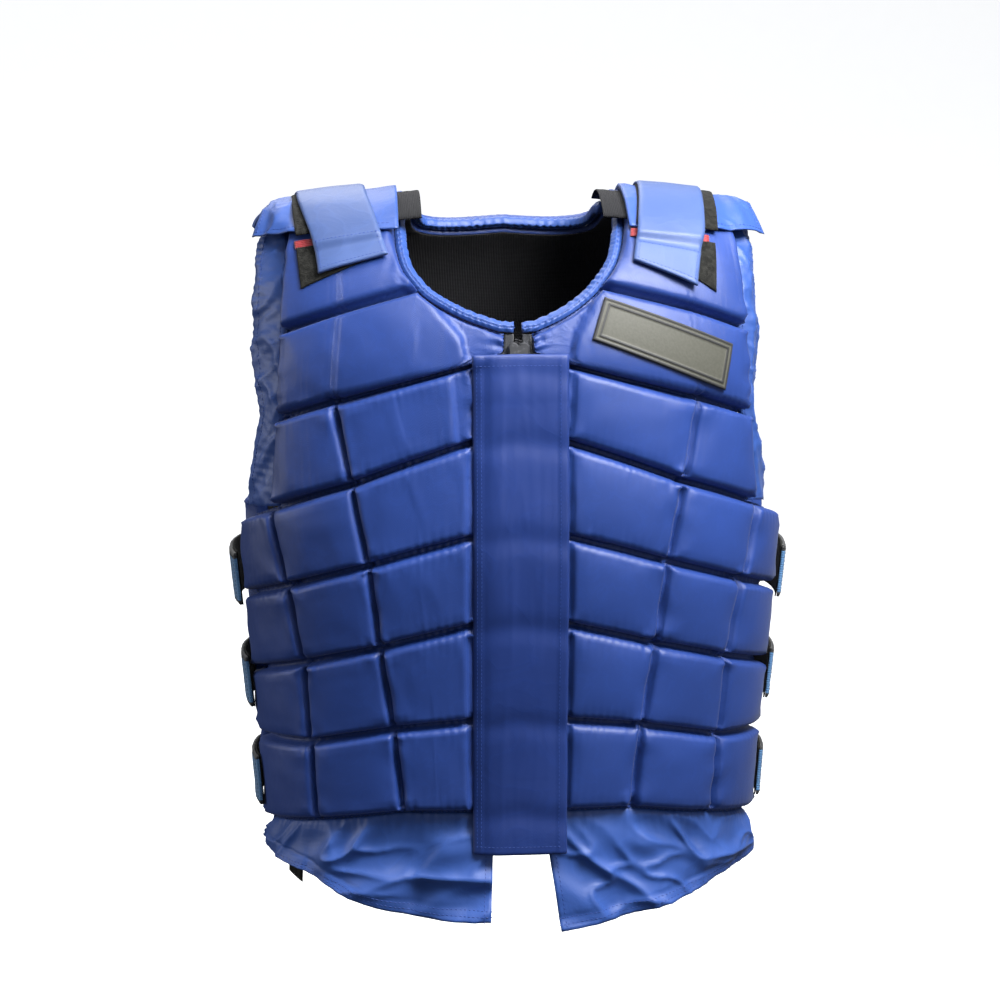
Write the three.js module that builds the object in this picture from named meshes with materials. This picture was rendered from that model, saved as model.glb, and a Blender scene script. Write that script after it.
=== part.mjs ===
// Riding body protector: quilted foam panels in a nylon cover, joined by shoulder and side straps.
// Millimetres. The front faces -Y, +Z is up, and z = 0 is the level of the wearer's shoulders.
// Right and left are the wearer's: right is -X.

import * as THREE from 'three';

// Driving dimensions of the body inside the vest.
const bodyLength = 530;
const armpitDrop = 120;
const chestHalfWidth = 185;
const chestFrontDepth = 106;
const chestBackDepth = 100;
const squareness = 2.35;
const shoulderSlope = 0.1;
const shoulderDroop = 0.13;
const neckPointShare = 0.362;

// Cover, foam and lining.
const clearance = 0.3;
const seamClearance = 0.6;
const bandClearance = 0.9;
const liningClearance = 0.95;
const liningThickness = 1.5;
const padThickness = 20;
const padCrown = 1.2;
const padEdgeWidth = 9;
const grooveDepth = 9;
const rimDepth = 9;
const centreRimDepth = 4;

// Skirt, bands and bindings.
const skirtThickness = 2.5;
const skirtFoldDepth = 3;
const skirtFlare = 8;
const bandThickness = 8;
const bandCrest = 2.5;
const ruffleDepth = 1;
const bindingWidth = 8;
const bindingThickness = 8;
const wingThickness = 4.5;
const wingCurl = 2;

// Straps and their touch tape.
const tapeThickness = 1.3;
const strapThickness = 3;
const sideStrapHeight = 39;
const sideStrapThickness = 2.5;
const tabWidth = 13;
const tabLength = 22;
const tabAngle = 66;

// Front closing.
const flapHalfWidth = 34.5;
const flapShift = 0.5;
const flapThickness = 2.5;
const zipTapeThickness = 2;
const zipTapeLift = 8;
const zipHalfWidth = 3;
const zipToothPitch = 12;
const zipToothHeight = 1;
const sliderWidth = 16;
const sliderLength = 21;
const sliderThickness = 6;
const pullWidth = 6;
const pullLength = 24;
const pullThickness = 1.6;

// Label patch.
const patchThickness = 2;
const patchFrameHeight = 0.8;

// Levels are lengths over the body from the armpit line, up positive, as shares of the body length.
const archLength = 0.327 * bodyLength;
const liningFace = liningThickness;
const padBack = liningThickness + liningClearance;
const padFace = padBack + padThickness;
const level = (share) => share * bodyLength;
const wingBase = padFace + 2 * clearance;
const wingFace = wingBase + wingThickness;
const patchFace = wingBase + tapeThickness;

const DEGREE = Math.PI / 180;

// Sections of the body, as shares of its length, half width and depths.
const bodySections = [
  { drop: 0.226, width: 0.989, front: 0.943, back: 0.98 },
  { drop: 0.415, width: 1, front: 1, back: 1 },
  { drop: 0.566, width: 0.965, front: 0.962, back: 0.92 },
  { drop: 0.717, width: 0.925, front: 0.906, back: 0.86 },
  { drop: 0.849, width: 0.9, front: 0.906, back: 0.91 },
  { drop: 1, width: 0.91, front: 0.953, back: 1 },
];

// Quilting seams from the skirt up: angle round the body in degrees and level at each upright seam,
// and the zone of pads above it. The armhole zone has no side pads, the yoke one pad a side, and the
// shoulder leaves out the neck. A plain line only shapes the pad that it crosses.
const frontSeamsOf = ({ corner, bend }) => [
  { zone: 'trunk', centre: [8.6, -0.577], first: [25, -0.579], second: [52, -0.602], side: [85, -0.63] },
  { zone: 'trunk', centre: [8.6, -0.44], first: [26.4, -0.455], second: [52, -0.485], side: [84, -0.5] },
  { zone: 'trunk', centre: [8.4, -0.302], first: [28.7, -0.338], second: [52, -0.369], side: [82, -0.402] },
  { zone: 'trunk', centre: [8.2, -0.181], first: [30.4, -0.223], second: [55, -0.26], side: [80, -0.29] },
  { zone: 'armhole', centre: [8.2, -0.053], first: [34.5, -0.115], second: [60.5, -0.157], side: [77, -0.178] },
  { zone: 'yoke', centre: [9, 0.043], first: [39.5, -0.002], second: [58.8, -0.032], side: [58.8, -0.032] },
  {
    zone: 'yoke', plain: true,
    centre: [2.2, 0.056], first: [39.3, 0.016], second: [58.4, -0.013], side: [58.4, -0.013],
  },
  {
    zone: 'shoulder',
    centre: [2, 0.077], neck: [corner, 0.132], first: [38, 0.109], second: [57.5, 0.085], side: [57.5, 0.085],
  },
  {
    zone: 'shoulder', plain: true,
    centre: [12, 0.17], neck: [bend, 0.192], first: [38, 0.18], second: [57.3, 0.165], side: [57.3, 0.165],
  },
  { centre: [18, 0.32], neck: [24.2, 0.32], first: [38, 0.32], second: [57, 0.32], side: [57, 0.32] },
];

// The neckline lies a little to the wearer's right: corner and bend of each front half in degrees.
const frontSeams = {
  right: frontSeamsOf({ corner: 18.5, bend: 23.6 }),
  left: frontSeamsOf({ corner: 15.2, bend: 21 }),
};
const neckSag = 0.006;
const neckSagShare = 0.55;
const neckMeetAngle = 0.5;
const backSeams = [
  { zone: 'trunk', centre: [0, -0.587], first: [26, -0.587], second: [54, -0.602], side: [84, -0.63] },
  { zone: 'trunk', centre: [0, -0.462], first: [26, -0.465], second: [54, -0.48], side: [83, -0.5] },
  { zone: 'trunk', centre: [0, -0.337], first: [26, -0.342], second: [54, -0.365], side: [81, -0.4] },
  { zone: 'trunk', centre: [0, -0.212], first: [26, -0.22], second: [56, -0.25], side: [79, -0.29] },
  { zone: 'armhole', centre: [0, -0.087], first: [26, -0.1], second: [60.5, -0.14], side: [76, -0.178] },
  { zone: 'yoke', centre: [0, 0.04], first: [28, 0.025], second: [60, -0.02], side: [60, -0.02] },
  {
    zone: 'yoke', plain: true,
    centre: [0, 0.058], first: [28, 0.043], second: [59.5, -0.001], side: [59.5, -0.001],
  },
  {
    zone: 'shoulder',
    centre: [0, 0.2], neck: [17, 0.222], first: [38, 0.19], second: [58, 0.12], side: [58, 0.12],
  },
  { centre: [19, 0.32], neck: [20, 0.32], first: [38, 0.32], second: [57, 0.32], side: [57, 0.32] },
];
const YOKE_SEAM = 5;
const insideShares = { yoke: [0.5], shoulder: [0.33, 0.66] };

// Outer edge of the gathered armhole band, by level, from its foot to the shoulder.
const frontBandEdge = {
  right: [
    { level: -0.166, angle: 78.5 },
    { level: -0.136, angle: 78 },
    { level: -0.085, angle: 75 },
    { level: -0.035, angle: 71 },
    { level: 0.03, angle: 75 },
    { level: 0.085, angle: 77 },
    { level: 0.14, angle: 75.5 },
    { level: 0.205, angle: 75.5 },
    { level: 0.315, angle: 73 },
  ],
  left: [
    { level: -0.166, angle: 78 },
    { level: -0.136, angle: 77 },
    { level: -0.085, angle: 72 },
    { level: -0.035, angle: 66.5 },
    { level: 0.03, angle: 69 },
    { level: 0.085, angle: 71 },
    { level: 0.14, angle: 70 },
    { level: 0.205, angle: 71 },
    { level: 0.315, angle: 70 },
  ],
};
const bandTurnOut = { right: 2.5, left: -2.5, back: -0.75 };
const backBandEdge = [
  { level: -0.162, angle: 76 },
  { level: -0.13, angle: 73 },
  { level: -0.07, angle: 68 },
  { level: 0.0, angle: 67.5 },
  { level: 0.1, angle: 69 },
  { level: 0.2, angle: 70 },
  { level: 0.315, angle: 71 },
];

// Hem levels round each skirt, from the centre edge to the side.
const rightHem = [
  { angle: 4.8, level: -0.732 },
  { angle: 20, level: -0.722 },
  { angle: 40, level: -0.706 },
  { angle: 62, level: -0.694 },
  { angle: 78, level: -0.69 },
  { angle: 86, level: -0.672 },
];
const leftHem = [
  { angle: 7.6, level: -0.75 },
  { angle: 20, level: -0.738 },
  { angle: 40, level: -0.717 },
  { angle: 60, level: -0.698 },
  { angle: 77, level: -0.692 },
  { angle: 86, level: -0.674 },
];
const backHem = [
  { angle: 0, level: -0.735 },
  { angle: 30, level: -0.727 },
  { angle: 55, level: -0.71 },
  { angle: 76, level: -0.69 },
  { angle: 85, level: -0.675 },
];
const skirtFolds = [
  { waves: 5.2, phase: 0.4, share: 0.55 },
  { waves: 11, phase: 2.1, share: 0.3 },
  { waves: 17, phase: 4, share: 0.15 },
];

// Shoulder straps, from the end on the front, over the shoulder, to the seam on the back.
const strapRoute = [
  { level: 0.15, inner: 23.5, outer: 41.5 },
  { level: 0.212, inner: 25.3, outer: 44.3 },
  { level: 0.27, inner: 27, outer: 46.6 },
  { level: 0.33, inner: 28, outer: 48 },
  { level: 0.39, inner: 28, outer: 48 },
];
const strapLevels = [0.15, 0.18, 0.2, 0.216, 0.236, 0.256, 0.276, 0.296, 0.316, 0.336, 0.356, 0.376, 0.392];
const strapEndSlant = 0.03;
const strapTurnLevels = [0.188, 0.2];
const strapLean = { right: 1, left: -1 };
const wingTapeOverhang = 2.6;
const tapeShift = { right: 3, left: 1.8 };
const loopOverhang = 2.2;
const redTapeOverhang = 3.4;
const wingFrontLevel = 0.213;
const wingOuterFrontLevel = 0.25;
const wingBackLevel = 0.4;
const wingInnerAngle = 22.5;
const wingOuterAngle = 74;
const wingLiningLevels = [0.262, 0.316];
const wingLiningAngles = [18.6, 22.1];
const redTapeLevels = [0.199, 0.211];
const loopPatchLevels = [0.143, 0.17, 0.197];

// Side straps: their level under the armpit line and their ends on the front and back panels.
const sideStrapLevels = [-0.268, -0.418, -0.566];
const sideStrapFrontAngle = 79;
const sideStrapBackAngle = 112;

// Label corners on the left yoke.
const labelCorners = {
  topInner: [15.4, 0.1155],
  topOuter: [49.2, 0.063],
  bottomInner: [12.5, 0.068],
  bottomOuter: [46.3, 0.0073],
};

// Zip cover flap.
const flapTopLevel = 0.0525;
const flapFootLevel = -0.636;

const colours = {
  nylon: 0x2f4ea3,
  flap: 0x2b4a9c,
  lining: 0x15161a,
  velcro: 0x2a2a28,
  redTape: 0xb01c26,
  label: 0x77776f,
  strap: 0x3c5fb4,
  sideStrap: 0x3f6ea3,
  zipTape: 0x1b1d22,
  zip: 0x303236,
};

const vest = new THREE.Group();

// Both halves of the vest, with the turn that takes an angle from the left half to each.
const sides = [['right', (angle) => -angle], ['left', (angle) => angle]];

function addPiece(name, geometry, colour, roughness = 0.6, metalness = 0) {
  const material = new THREE.MeshStandardMaterial({ color: colour, roughness, metalness });
  const mesh = new THREE.Mesh(geometry, material);
  mesh.name = name;
  vest.add(mesh);
  return mesh;
}

// Smooth curve through table rows: value of one column at a key, flat past both ends.
function smoothColumn(rows, keyName, key, column) {
  const forward = rows[0][keyName] < rows[rows.length - 1][keyName];
  const table = forward ? rows : [...rows].reverse();
  const last = table.length - 1;
  const held = Math.min(Math.max(key, table[0][keyName]), table[last][keyName]);
  let i = 0;
  while (i < last - 1 && table[i + 1][keyName] <= held) i += 1;
  const span = table[i + 1][keyName] - table[i][keyName];
  const t = (held - table[i][keyName]) / span;
  const slope = (k) => {
    const low = Math.max(k - 1, 0);
    const high = Math.min(k + 1, last);
    return (table[high][column] - table[low][column]) / (table[high][keyName] - table[low][keyName]);
  };
  const from = table[i][column];
  const to = table[i + 1][column];
  const bend = (2 * t * t * t - 3 * t * t + 1) * from + (3 * t * t - 2 * t * t * t) * to;
  const start = (t * t * t - 2 * t * t + t) * span * slope(i);
  const end = (t * t * t - t * t) * span * slope(i + 1);
  return bend + start + end;
}

const mix = (a, b, share) => a + (b - a) * share;
const signedPower = (value, power) => Math.sign(value) * Math.abs(value) ** power;

// Height of the shoulder line above its own level at a distance from the middle.
function shoulderLine(x) {
  const out = Math.abs(x) / chestHalfWidth;
  const round = Math.max(0, out - 0.7);
  return chestHalfWidth * (shoulderSlope * (neckPointShare - out) - shoulderDroop * round * round);
}

// The wearer's body. Angle 0 is the front, 90 the left side, 180 the back, and past the shoulder
// ridge the level goes on down the other face.
function bodyPoint(angle, height) {
  const across = signedPower(Math.sin(angle * DEGREE), 2 / squareness);
  const forward = signedPower(Math.cos(angle * DEGREE), 2 / squareness);
  const drop = Math.max(armpitDrop, armpitDrop - height) / bodyLength;
  const x = across * chestHalfWidth * smoothColumn(bodySections, 'drop', drop, 'width');
  const arch = Math.max(0, (height / archLength) * 90) * DEGREE;
  const facing = forward * Math.cos(arch);
  const depth = facing > 0
    ? chestFrontDepth * smoothColumn(bodySections, 'drop', drop, 'front')
    : chestBackDepth * smoothColumn(bodySections, 'drop', drop, 'back');
  const z = height > 0
    ? -armpitDrop + (shoulderLine(x) + armpitDrop) * Math.sin(arch)
    : height - armpitDrop;
  return new THREE.Vector3(x, -depth * facing, z);
}

function bodyNormal(angle, height) {
  const step = 0.02;
  const round = bodyPoint(angle + step, height).sub(bodyPoint(angle - step, height));
  const rise = bodyPoint(angle, height + step).sub(bodyPoint(angle, height - step));
  return round.cross(rise).normalize();
}

// A point over the body at a lift along its outward normal.
function over(angle, height, lift) {
  return bodyPoint(angle, height).addScaledVector(bodyNormal(angle, height), lift);
}

// Closed solid between an outer and an inner grid of points, with the cells that has() keeps.
function shell(outer, inner, has = () => true) {
  const rows = outer.length;
  const columns = outer[0].length;
  const position = [];
  const index = [];
  const numbers = new Map();
  const vertex = (grid, i, j) => {
    const key = `${grid === outer ? 'o' : 'i'}${i}_${j}`;
    if (!numbers.has(key)) {
      numbers.set(key, position.length / 3);
      position.push(...grid[i][j].toArray());
    }
    return numbers.get(key);
  };
  const kept = (i, j) => i >= 0 && j >= 0 && i < rows - 1 && j < columns - 1 && has(i, j);
  const wall = (i0, j0, i1, j1) => {
    const corners = [vertex(outer, i0, j0), vertex(outer, i1, j1), vertex(inner, i1, j1), vertex(inner, i0, j0)];
    index.push(corners[0], corners[2], corners[1], corners[0], corners[3], corners[2]);
  };
  for (let i = 0; i < rows - 1; i += 1) {
    for (let j = 0; j < columns - 1; j += 1) {
      if (!kept(i, j)) continue;
      for (const grid of [outer, inner]) {
        const a = vertex(grid, i, j);
        const b = vertex(grid, i, j + 1);
        const c = vertex(grid, i + 1, j + 1);
        const d = vertex(grid, i + 1, j);
        if (grid === outer) index.push(a, b, c, a, c, d);
        else index.push(a, c, b, a, d, c);
      }
      if (!kept(i - 1, j)) wall(i, j, i, j + 1);
      if (!kept(i, j + 1)) wall(i, j + 1, i + 1, j + 1);
      if (!kept(i + 1, j)) wall(i + 1, j + 1, i + 1, j);
      if (!kept(i, j - 1)) wall(i + 1, j, i, j);
    }
  }
  return facingOut(position, index);
}

// Geometry from points and triangles, turned over if its volume comes out negative.
function facingOut(position, index) {
  const at = (n) => new THREE.Vector3().fromArray(position, 3 * n);
  let volume = 0;
  for (let t = 0; t < index.length; t += 3) {
    volume += at(index[t]).dot(at(index[t + 1]).cross(at(index[t + 2])));
  }
  const geometry = new THREE.BufferGeometry();
  geometry.setAttribute('position', new THREE.Float32BufferAttribute(position, 3));
  geometry.setIndex(volume < 0 ? [...index].reverse() : index);
  return geometry;
}

// Grid of points from lists of row and column values.
const grid = (rows, columns, point) => rows.map((r, i) => columns.map((c, j) => point(r, c, i, j)));
const shares = (count) => Array.from({ length: count + 1 }, (_, i) => i / count);

// Distance over the body between two stations, for edge shares.
const reach = (from, to) => over(from[0], from[1], padFace).distanceTo(over(to[0], to[1], padFace));

// One seam as stations in mm: centre, middle or neck corner, first, second and side.
function seamStations(seam) {
  const place = ([angle, share]) => [angle, level(share)];
  const centre = place(seam.centre);
  const first = place(seam.first);
  const between = [mix(centre[0], first[0], 0.5), mix(centre[1], first[1], 0.5)];
  return [centre, seam.neck ? place(seam.neck) : between, first, place(seam.second), place(seam.side)];
}

// Upright lines of a seam: stations with pad edge lines beside the grooves.
function seamLine(seam, isShoulder) {
  const [centre, neck, first, second, side] = seamStations(seam);
  const between = (a, b, share, sag = 0) => [mix(a[0], b[0], share), mix(a[1], b[1], share) - sag];
  const edge = (a, b) => Math.min(0.45, padEdgeWidth / Math.max(reach(a, b), 1));
  const nearNeck = isShoulder ? edge(neck, first) : 1 - edge(neck, first);
  const nearCentre = seam.centre[0] === 0 ? 0.5 : edge(centre, neck);
  const sagged = isShoulder && seam.neck && !seam.plain;
  const beside = sagged
    ? between(centre, neck, neckSagShare, level(neckSag))
    : between(centre, neck, nearCentre);
  const line = [centre, beside, neck, between(neck, first, nearNeck), first];
  for (const [a, b] of [[first, second], [second, side]]) {
    const share = reach(a, b) < 1 ? 0.25 : edge(a, b);
    line.push(between(a, b, share), between(a, b, 0.5), between(a, b, 1 - share), b);
  }
  return line;
}

const FIRST_LINE = 4;
const NECK_LINE = 2;
const SECOND_LINE = 8;
const SIDE_LINE = 12;

// Shares up a row of pads where its level lines run, with pad edge lines beside the grooves.
function rowShares(seams, n, height) {
  const edge = padEdgeWidth / height;
  if (seams[n + 1].plain) return seams[n].zone === 'shoulder' ? [0, edge] : [0];
  const inside = insideShares[seams[n].zone] ?? [];
  return seams[n].plain ? [0, ...inside, 1 - edge] : [0, edge, ...inside, 1 - edge];
}

// The quilt of a half panel: every level line from the skirt up, its zone and its stations.
function quilt(seams) {
  const lines = seams.map((seam) => seamLine(seam, Boolean(seam.neck)));
  const rows = [];
  for (let n = 0; n < seams.length - 1; n += 1) {
    const height = reach(lines[n][FIRST_LINE], lines[n + 1][FIRST_LINE]);
    for (const share of rowShares(seams, n, height)) {
      const stations = lines[n].map((from, j) => {
        const to = lines[n + 1][j];
        return [mix(from[0], to[0], share), mix(from[1], to[1], share)];
      });
      const { zone, plain } = seams[n];
      rows.push({ zone, onSeam: share === 0 && !plain, isDrawn: share === 0, stations });
    }
  }
  rows.push({ zone: 'end', onSeam: true, isDrawn: true, stations: lines[seams.length - 1] });
  return rows;
}

// Whether a cell of a half quilt holds foam: the armhole and the neck are left out.
function inPanel(zone, column) {
  if (column >= SECOND_LINE) return zone === 'trunk';
  if (column < NECK_LINE) return zone !== 'shoulder';
  return true;
}

// Whole quilts run from one side over the centre to the other, with the same lines on both halves.
function quiltColumns(isWhole) {
  const half = Array.from({ length: SIDE_LINE + 1 }, (_, j) => j);
  return isWhole ? [...half.slice(1).reverse().map((j) => -j), ...half] : half;
}

function panelGrids(seams, isWhole, turn) {
  const rows = quilt(seams);
  const columns = quiltColumns(isWhole);
  const cellColumn = (j) => {
    const low = columns[j];
    return low >= 0 ? low : -low - 1;
  };
  const has = (i, j) => inPanel(rows[i].zone, cellColumn(j));
  const inside = (i, j) => i >= 0 && j >= 0 && i < rows.length - 1 && j < columns.length - 1 && has(i, j);
  const onRim = (i, j) => ![[i, j], [i - 1, j], [i, j - 1], [i - 1, j - 1]].every(([a, b]) => inside(a, b));
  const station = (i, j) => {
    const column = columns[j];
    const [angle, height] = rows[i].stations[Math.abs(column)];
    return [turn(column < 0 ? -angle : angle), height];
  };
  const lift = (i, j) => {
    const { zone, onSeam } = rows[i];
    const column = Math.abs(columns[j]);
    if (onRim(i, j)) {
      const atCentre = !isWhole && column === 0 && zone !== 'shoulder';
      return padFace - (atCentre ? centreRimDepth : rimDepth);
    }
    const onFirst = column === FIRST_LINE && (zone === 'trunk' || zone === 'armhole');
    const onSecond = column === SECOND_LINE && zone === 'trunk';
    if (onSeam || onFirst || onSecond) return padFace - grooveDepth;
    const onMiddle = zone !== 'shoulder' && (column % FIRST_LINE === NECK_LINE || column === 0);
    return onMiddle ? padFace + padCrown : padFace;
  };
  return { rows, columns, has, station, lift };
}

function addPanel(name, seams, isWhole, turn) {
  const { rows, columns, has, station, lift } = panelGrids(seams, isWhole, turn);
  const place = (height) => rows.map((_, i) => columns.map((_, j) => over(...station(i, j), height(i, j))));
  addPiece(name, shell(place(lift), place(() => padBack), has), colours.nylon, 0.5);
}

// The lining has the panel's outline, with every second upright and fewer levels where it is straight.
function addLining(name, seams, isWhole, turn) {
  const { rows, columns, station } = panelGrids(seams, isWhole, turn);
  const uprights = columns.map((column, j) => ({ column, j })).filter(({ column }) => column % NECK_LINE === 0);
  const levels = rows.map(({ zone, isDrawn }, i) => ({ zone, isDrawn, i }))
    .filter(({ zone, isDrawn }) => isDrawn || zone === 'yoke' || zone === 'shoulder');
  const place = (lift) => levels.map(({ i }) => uprights.map(({ j }) => over(...station(i, j), lift)));
  const has = (n, m) => {
    const low = uprights[m].column;
    return inPanel(levels[n].zone, low >= 0 ? low : -low - NECK_LINE);
  };
  addPiece(name, shell(place(liningFace), place(0), has), colours.lining, 0.9);
}

// Stations of a panel edge as points at the panel's foot with normals, cut into equal steps.
function edgeStations(stations, turn, perSpan) {
  const ends = stations.map(([angle, height]) => ({
    point: bodyPoint(turn(angle), height),
    normal: bodyNormal(turn(angle), height),
  }));
  const out = [];
  for (let n = 0; n < ends.length - 1; n += 1) {
    for (let k = 0; k < perSpan; k += 1) {
      const share = k / perSpan;
      out.push({
        point: ends[n].point.clone().lerp(ends[n + 1].point, share),
        normal: ends[n].normal.clone().lerp(ends[n + 1].normal, share).normalize(),
        height: mix(stations[n][1], stations[n + 1][1], share),
      });
    }
  }
  out.push({ ...ends[ends.length - 1], height: stations[stations.length - 1][1] });
  return out;
}

const ruffle = (n) => ruffleDepth * (0.6 * Math.sin(2.1 * n) + 0.4 * Math.sin(3.7 * n + 1));

// Gathered band on an armhole edge, from the panel's edge out to its own outer edge.
function addArmholeBand(name, seams, outerEdge, turnOut, turn) {
  const armhole = quilt(seams).filter(({ zone }) => zone !== 'trunk');
  const [footAngle, footHeight] = armhole[0].stations[SECOND_LINE];
  const foot = [footAngle, footHeight + seamClearance];
  const edge = [foot, ...armhole.slice(1).map(({ stations }) => stations[SECOND_LINE])];
  const stations = edgeStations(edge, turn, 2);
  const across = [0, 0.5, 1];
  const crest = [0, bandCrest, turnOut];
  const face = padFace - rimDepth;
  const place = (lifts) => stations.map(({ point, normal, height }, i) => {
    const outAngle = smoothColumn(outerEdge, 'level', height / bodyLength, 'angle') + 0.5 * ruffle(i);
    const droop = i === 0 ? level(outerEdge[0].level) - height : 0;
    const out = bodyPoint(turn(outAngle), height + droop);
    const outNormal = bodyNormal(turn(outAngle), height + droop);
    const toward = out.clone().sub(point).normalize();
    return across.map((share, j) => {
      const aim = normal.clone().lerp(outNormal, share).normalize();
      const start = point.clone().addScaledVector(toward, bandClearance);
      return start.lerp(out, share).addScaledVector(aim, lifts(i, j));
    });
  });
  const outer = place((i, j) => face + crest[j] + (j > 0 ? ruffle(i + j) : -1));
  const inner = place((i, j) => face + crest[j] - bandThickness);
  addPiece(name, shell(outer, inner), colours.nylon, 0.55);
}

// Stations along a half panel's neck edge, from the centre up to the shoulder.
function neckEdge(seams) {
  const lines = quilt(seams).filter(({ zone }) => zone === 'shoulder' || zone === 'end');
  const [centre, beside] = lines[0].stations;
  const meeting = [Math.min(centre[0], neckMeetAngle), centre[1]];
  return [meeting, beside, ...lines.map(({ stations }) => stations[NECK_LINE])];
}

// Rolled binding along a neck edge, on the neck's side of the panel.
function addNeckBinding(name, edge, turn, towardNeck) {
  const stations = edgeStations(edge, turn, 3);
  const tangents = stations.map((_, i) => {
    const before = stations[Math.max(i - 1, 0)].point;
    const after = stations[Math.min(i + 1, stations.length - 1)].point;
    return after.clone().sub(before).normalize();
  });
  const across = [0, 0.5, 1];
  const crest = [0.75, 1, 0.5];
  const base = padFace - rimDepth - bindingThickness;
  const place = (lifts) => stations.map(({ point, normal }, i) => {
    const side = tangents[i].clone().cross(normal).multiplyScalar(towardNeck);
    return across.map((share, j) => point.clone()
      .addScaledVector(side, seamClearance + share * (bindingWidth + 0.5 * ruffle(i)))
      .addScaledVector(normal, lifts(i, j)));
  });
  const outer = place((i, j) => base + bindingThickness * crest[j] + (j > 0 ? 0.5 * ruffle(i + j) : 0));
  const inner = place((i, j) => base + bindingThickness * 0.25 * (1 - crest[j]));
  addPiece(name, shell(outer, inner), colours.nylon, 0.55);
}

// Level of the quilt's lowest seam at an angle.
function footLevel(seams, angle) {
  const { centre, first, second, side } = seams[0];
  const nodes = [centre, first, second, side];
  const held = Math.min(Math.max(angle, nodes[0][0]), nodes[3][0]);
  const n = Math.min(nodes.findIndex((node) => node[0] >= held) || 1, 3);
  const share = (held - nodes[n - 1][0]) / (nodes[n][0] - nodes[n - 1][0]);
  return level(mix(nodes[n - 1][1], nodes[n][1], share));
}

// Depth of the skirt's folds at an angle, from nothing at the seam to full at the hem.
function foldDepth(angle, share) {
  const waves = skirtFolds.map((fold) => fold.share * Math.sin(fold.waves * angle * DEGREE * 2 + fold.phase));
  return skirtFoldDepth * share * waves.reduce((sum, value) => sum + value, 0);
}

// Lift of the skirt's outer face, by the share of the way down to the hem.
function skirtLift(angle, down) {
  return padFace - rimDepth - 1 + skirtFlare * down ** 0.6 + foldDepth(angle, Math.sin(down * 90 * DEGREE));
}

// Loose cloth skirt from the quilt's foot to its hem, between two angles.
function addSkirt(name, seams, hem, from, to, columns, turn) {
  const place = (back) => grid(shares(4), shares(columns), (down, round) => {
    const hemAngle = mix(from.hem, to.hem, round);
    const topAngle = mix(from.top, to.top, round);
    const angle = mix(topAngle, hemAngle, down);
    const start = footLevel(seams, Math.abs(topAngle)) - seamClearance;
    const end = level(smoothColumn(hem, 'angle', Math.abs(hemAngle), 'level'));
    return over(turn(angle), mix(start, end, down), skirtLift(angle, down) - back);
  });
  addPiece(name, shell(place(0), place(skirtThickness)), colours.nylon, 0.45);
}

// Flat piece on the body between two levels and angles, at a base lift, with a face lift.
function surfacePiece(levels, angles, base, thickness, turn) {
  const place = (lift) => grid(levels, angles, (height, angle) => over(turn(angle), height, lift));
  return shell(place(base + thickness), place(base));
}

// Wing: the back panel's shoulder end, folded forward over the front shoulder.
function addShoulderWing(label, turn) {
  const place = (lift) => grid(shares(7), shares(6), (forward, out, i, j) => {
    const front = mix(wingFrontLevel, wingOuterFrontLevel, out * out);
    const height = level(mix(wingBackLevel, front, forward));
    const angle = mix(wingInnerAngle, wingOuterAngle, out) + (j === 6 ? ruffle(i) : 0);
    const curl = Math.max(0, out - 0.7) / 0.3;
    return over(turn(angle), height, wingBase - wingCurl * curl * curl + lift(curl));
  });
  const wing = shell(place((curl) => wingThickness * (1 - 0.3 * curl)), place(() => 0));
  addPiece(`shoulder_wing_${label}`, wing, colours.nylon, 0.5);
  const levels = shares(4).map((share) => level(mix(...wingLiningLevels, share)));
  const angles = shares(2).map((share) => mix(...wingLiningAngles, share));
  const lift = padFace - rimDepth + 2 * clearance;
  addPiece(`wing_lining_${label}`, surfacePiece(levels, angles, lift, liningThickness, turn), colours.lining, 0.9);
}

const strapAngle = (share, at) => mix(
  smoothColumn(strapRoute, 'level', at, 'inner'),
  smoothColumn(strapRoute, 'level', at, 'outer'),
  share,
);

// Blue shoulder strap over the wing and down onto the touch tape of the front.
function addShoulderStrap(name, lean, turn) {
  const onWing = wingFace + tapeThickness + 2 * clearance;
  const onPatch = patchFace + 2 * clearance;
  const [turnStart, turnEnd] = strapTurnLevels;
  const place = (thickness) => grid(strapLevels, shares(3), (at, share, i) => {
    const slant = i === 0 ? strapEndSlant * (share - 0.45) : 0;
    const rise = Math.min(1, Math.max(0, (at - turnStart) / (turnEnd - turnStart)));
    const angle = turn(strapAngle(share, at) + lean);
    return over(angle, level(at - slant), mix(onPatch, onWing, rise) + thickness);
  });
  addPiece(name, shell(place(strapThickness), place(0)), colours.strap, 0.45);
}

// Black touch tape under the strap, on the wing and on the front shoulder, and a red tape between.
function addShoulderTapes(label, lean, turn) {
  const stuck = (levels, overhang, base, thickness, shift = 0) => {
    const place = (lift) => grid(levels, shares(3), (at, share) => {
      const middle = strapAngle(0.5, at);
      const angle = mix(middle, strapAngle(share, at), 1 + overhang / 10) + lean + shift;
      return over(turn(angle), level(at), base + lift);
    });
    return shell(place(thickness), place(0));
  };
  const onWing = strapLevels.filter((at) => at > wingFrontLevel && at < 0.38);
  const wingTape = stuck(onWing, wingTapeOverhang, wingFace + clearance, tapeThickness);
  addPiece(`shoulder_tape_${label}`, wingTape, colours.velcro, 0.95);
  const base = patchFace - tapeThickness;
  const patch = stuck(loopPatchLevels, loopOverhang, base, tapeThickness, tapeShift[label]);
  addPiece(`front_loop_patch_${label}`, patch, colours.velcro, 0.95);
  const redBase = padFace + clearance;
  const red = stuck(redTapeLevels, redTapeOverhang, redBase, tapeThickness * 0.7, tapeShift[label]);
  addPiece(`red_tape_${label}`, red, colours.redTape, 0.7);
}

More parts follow.
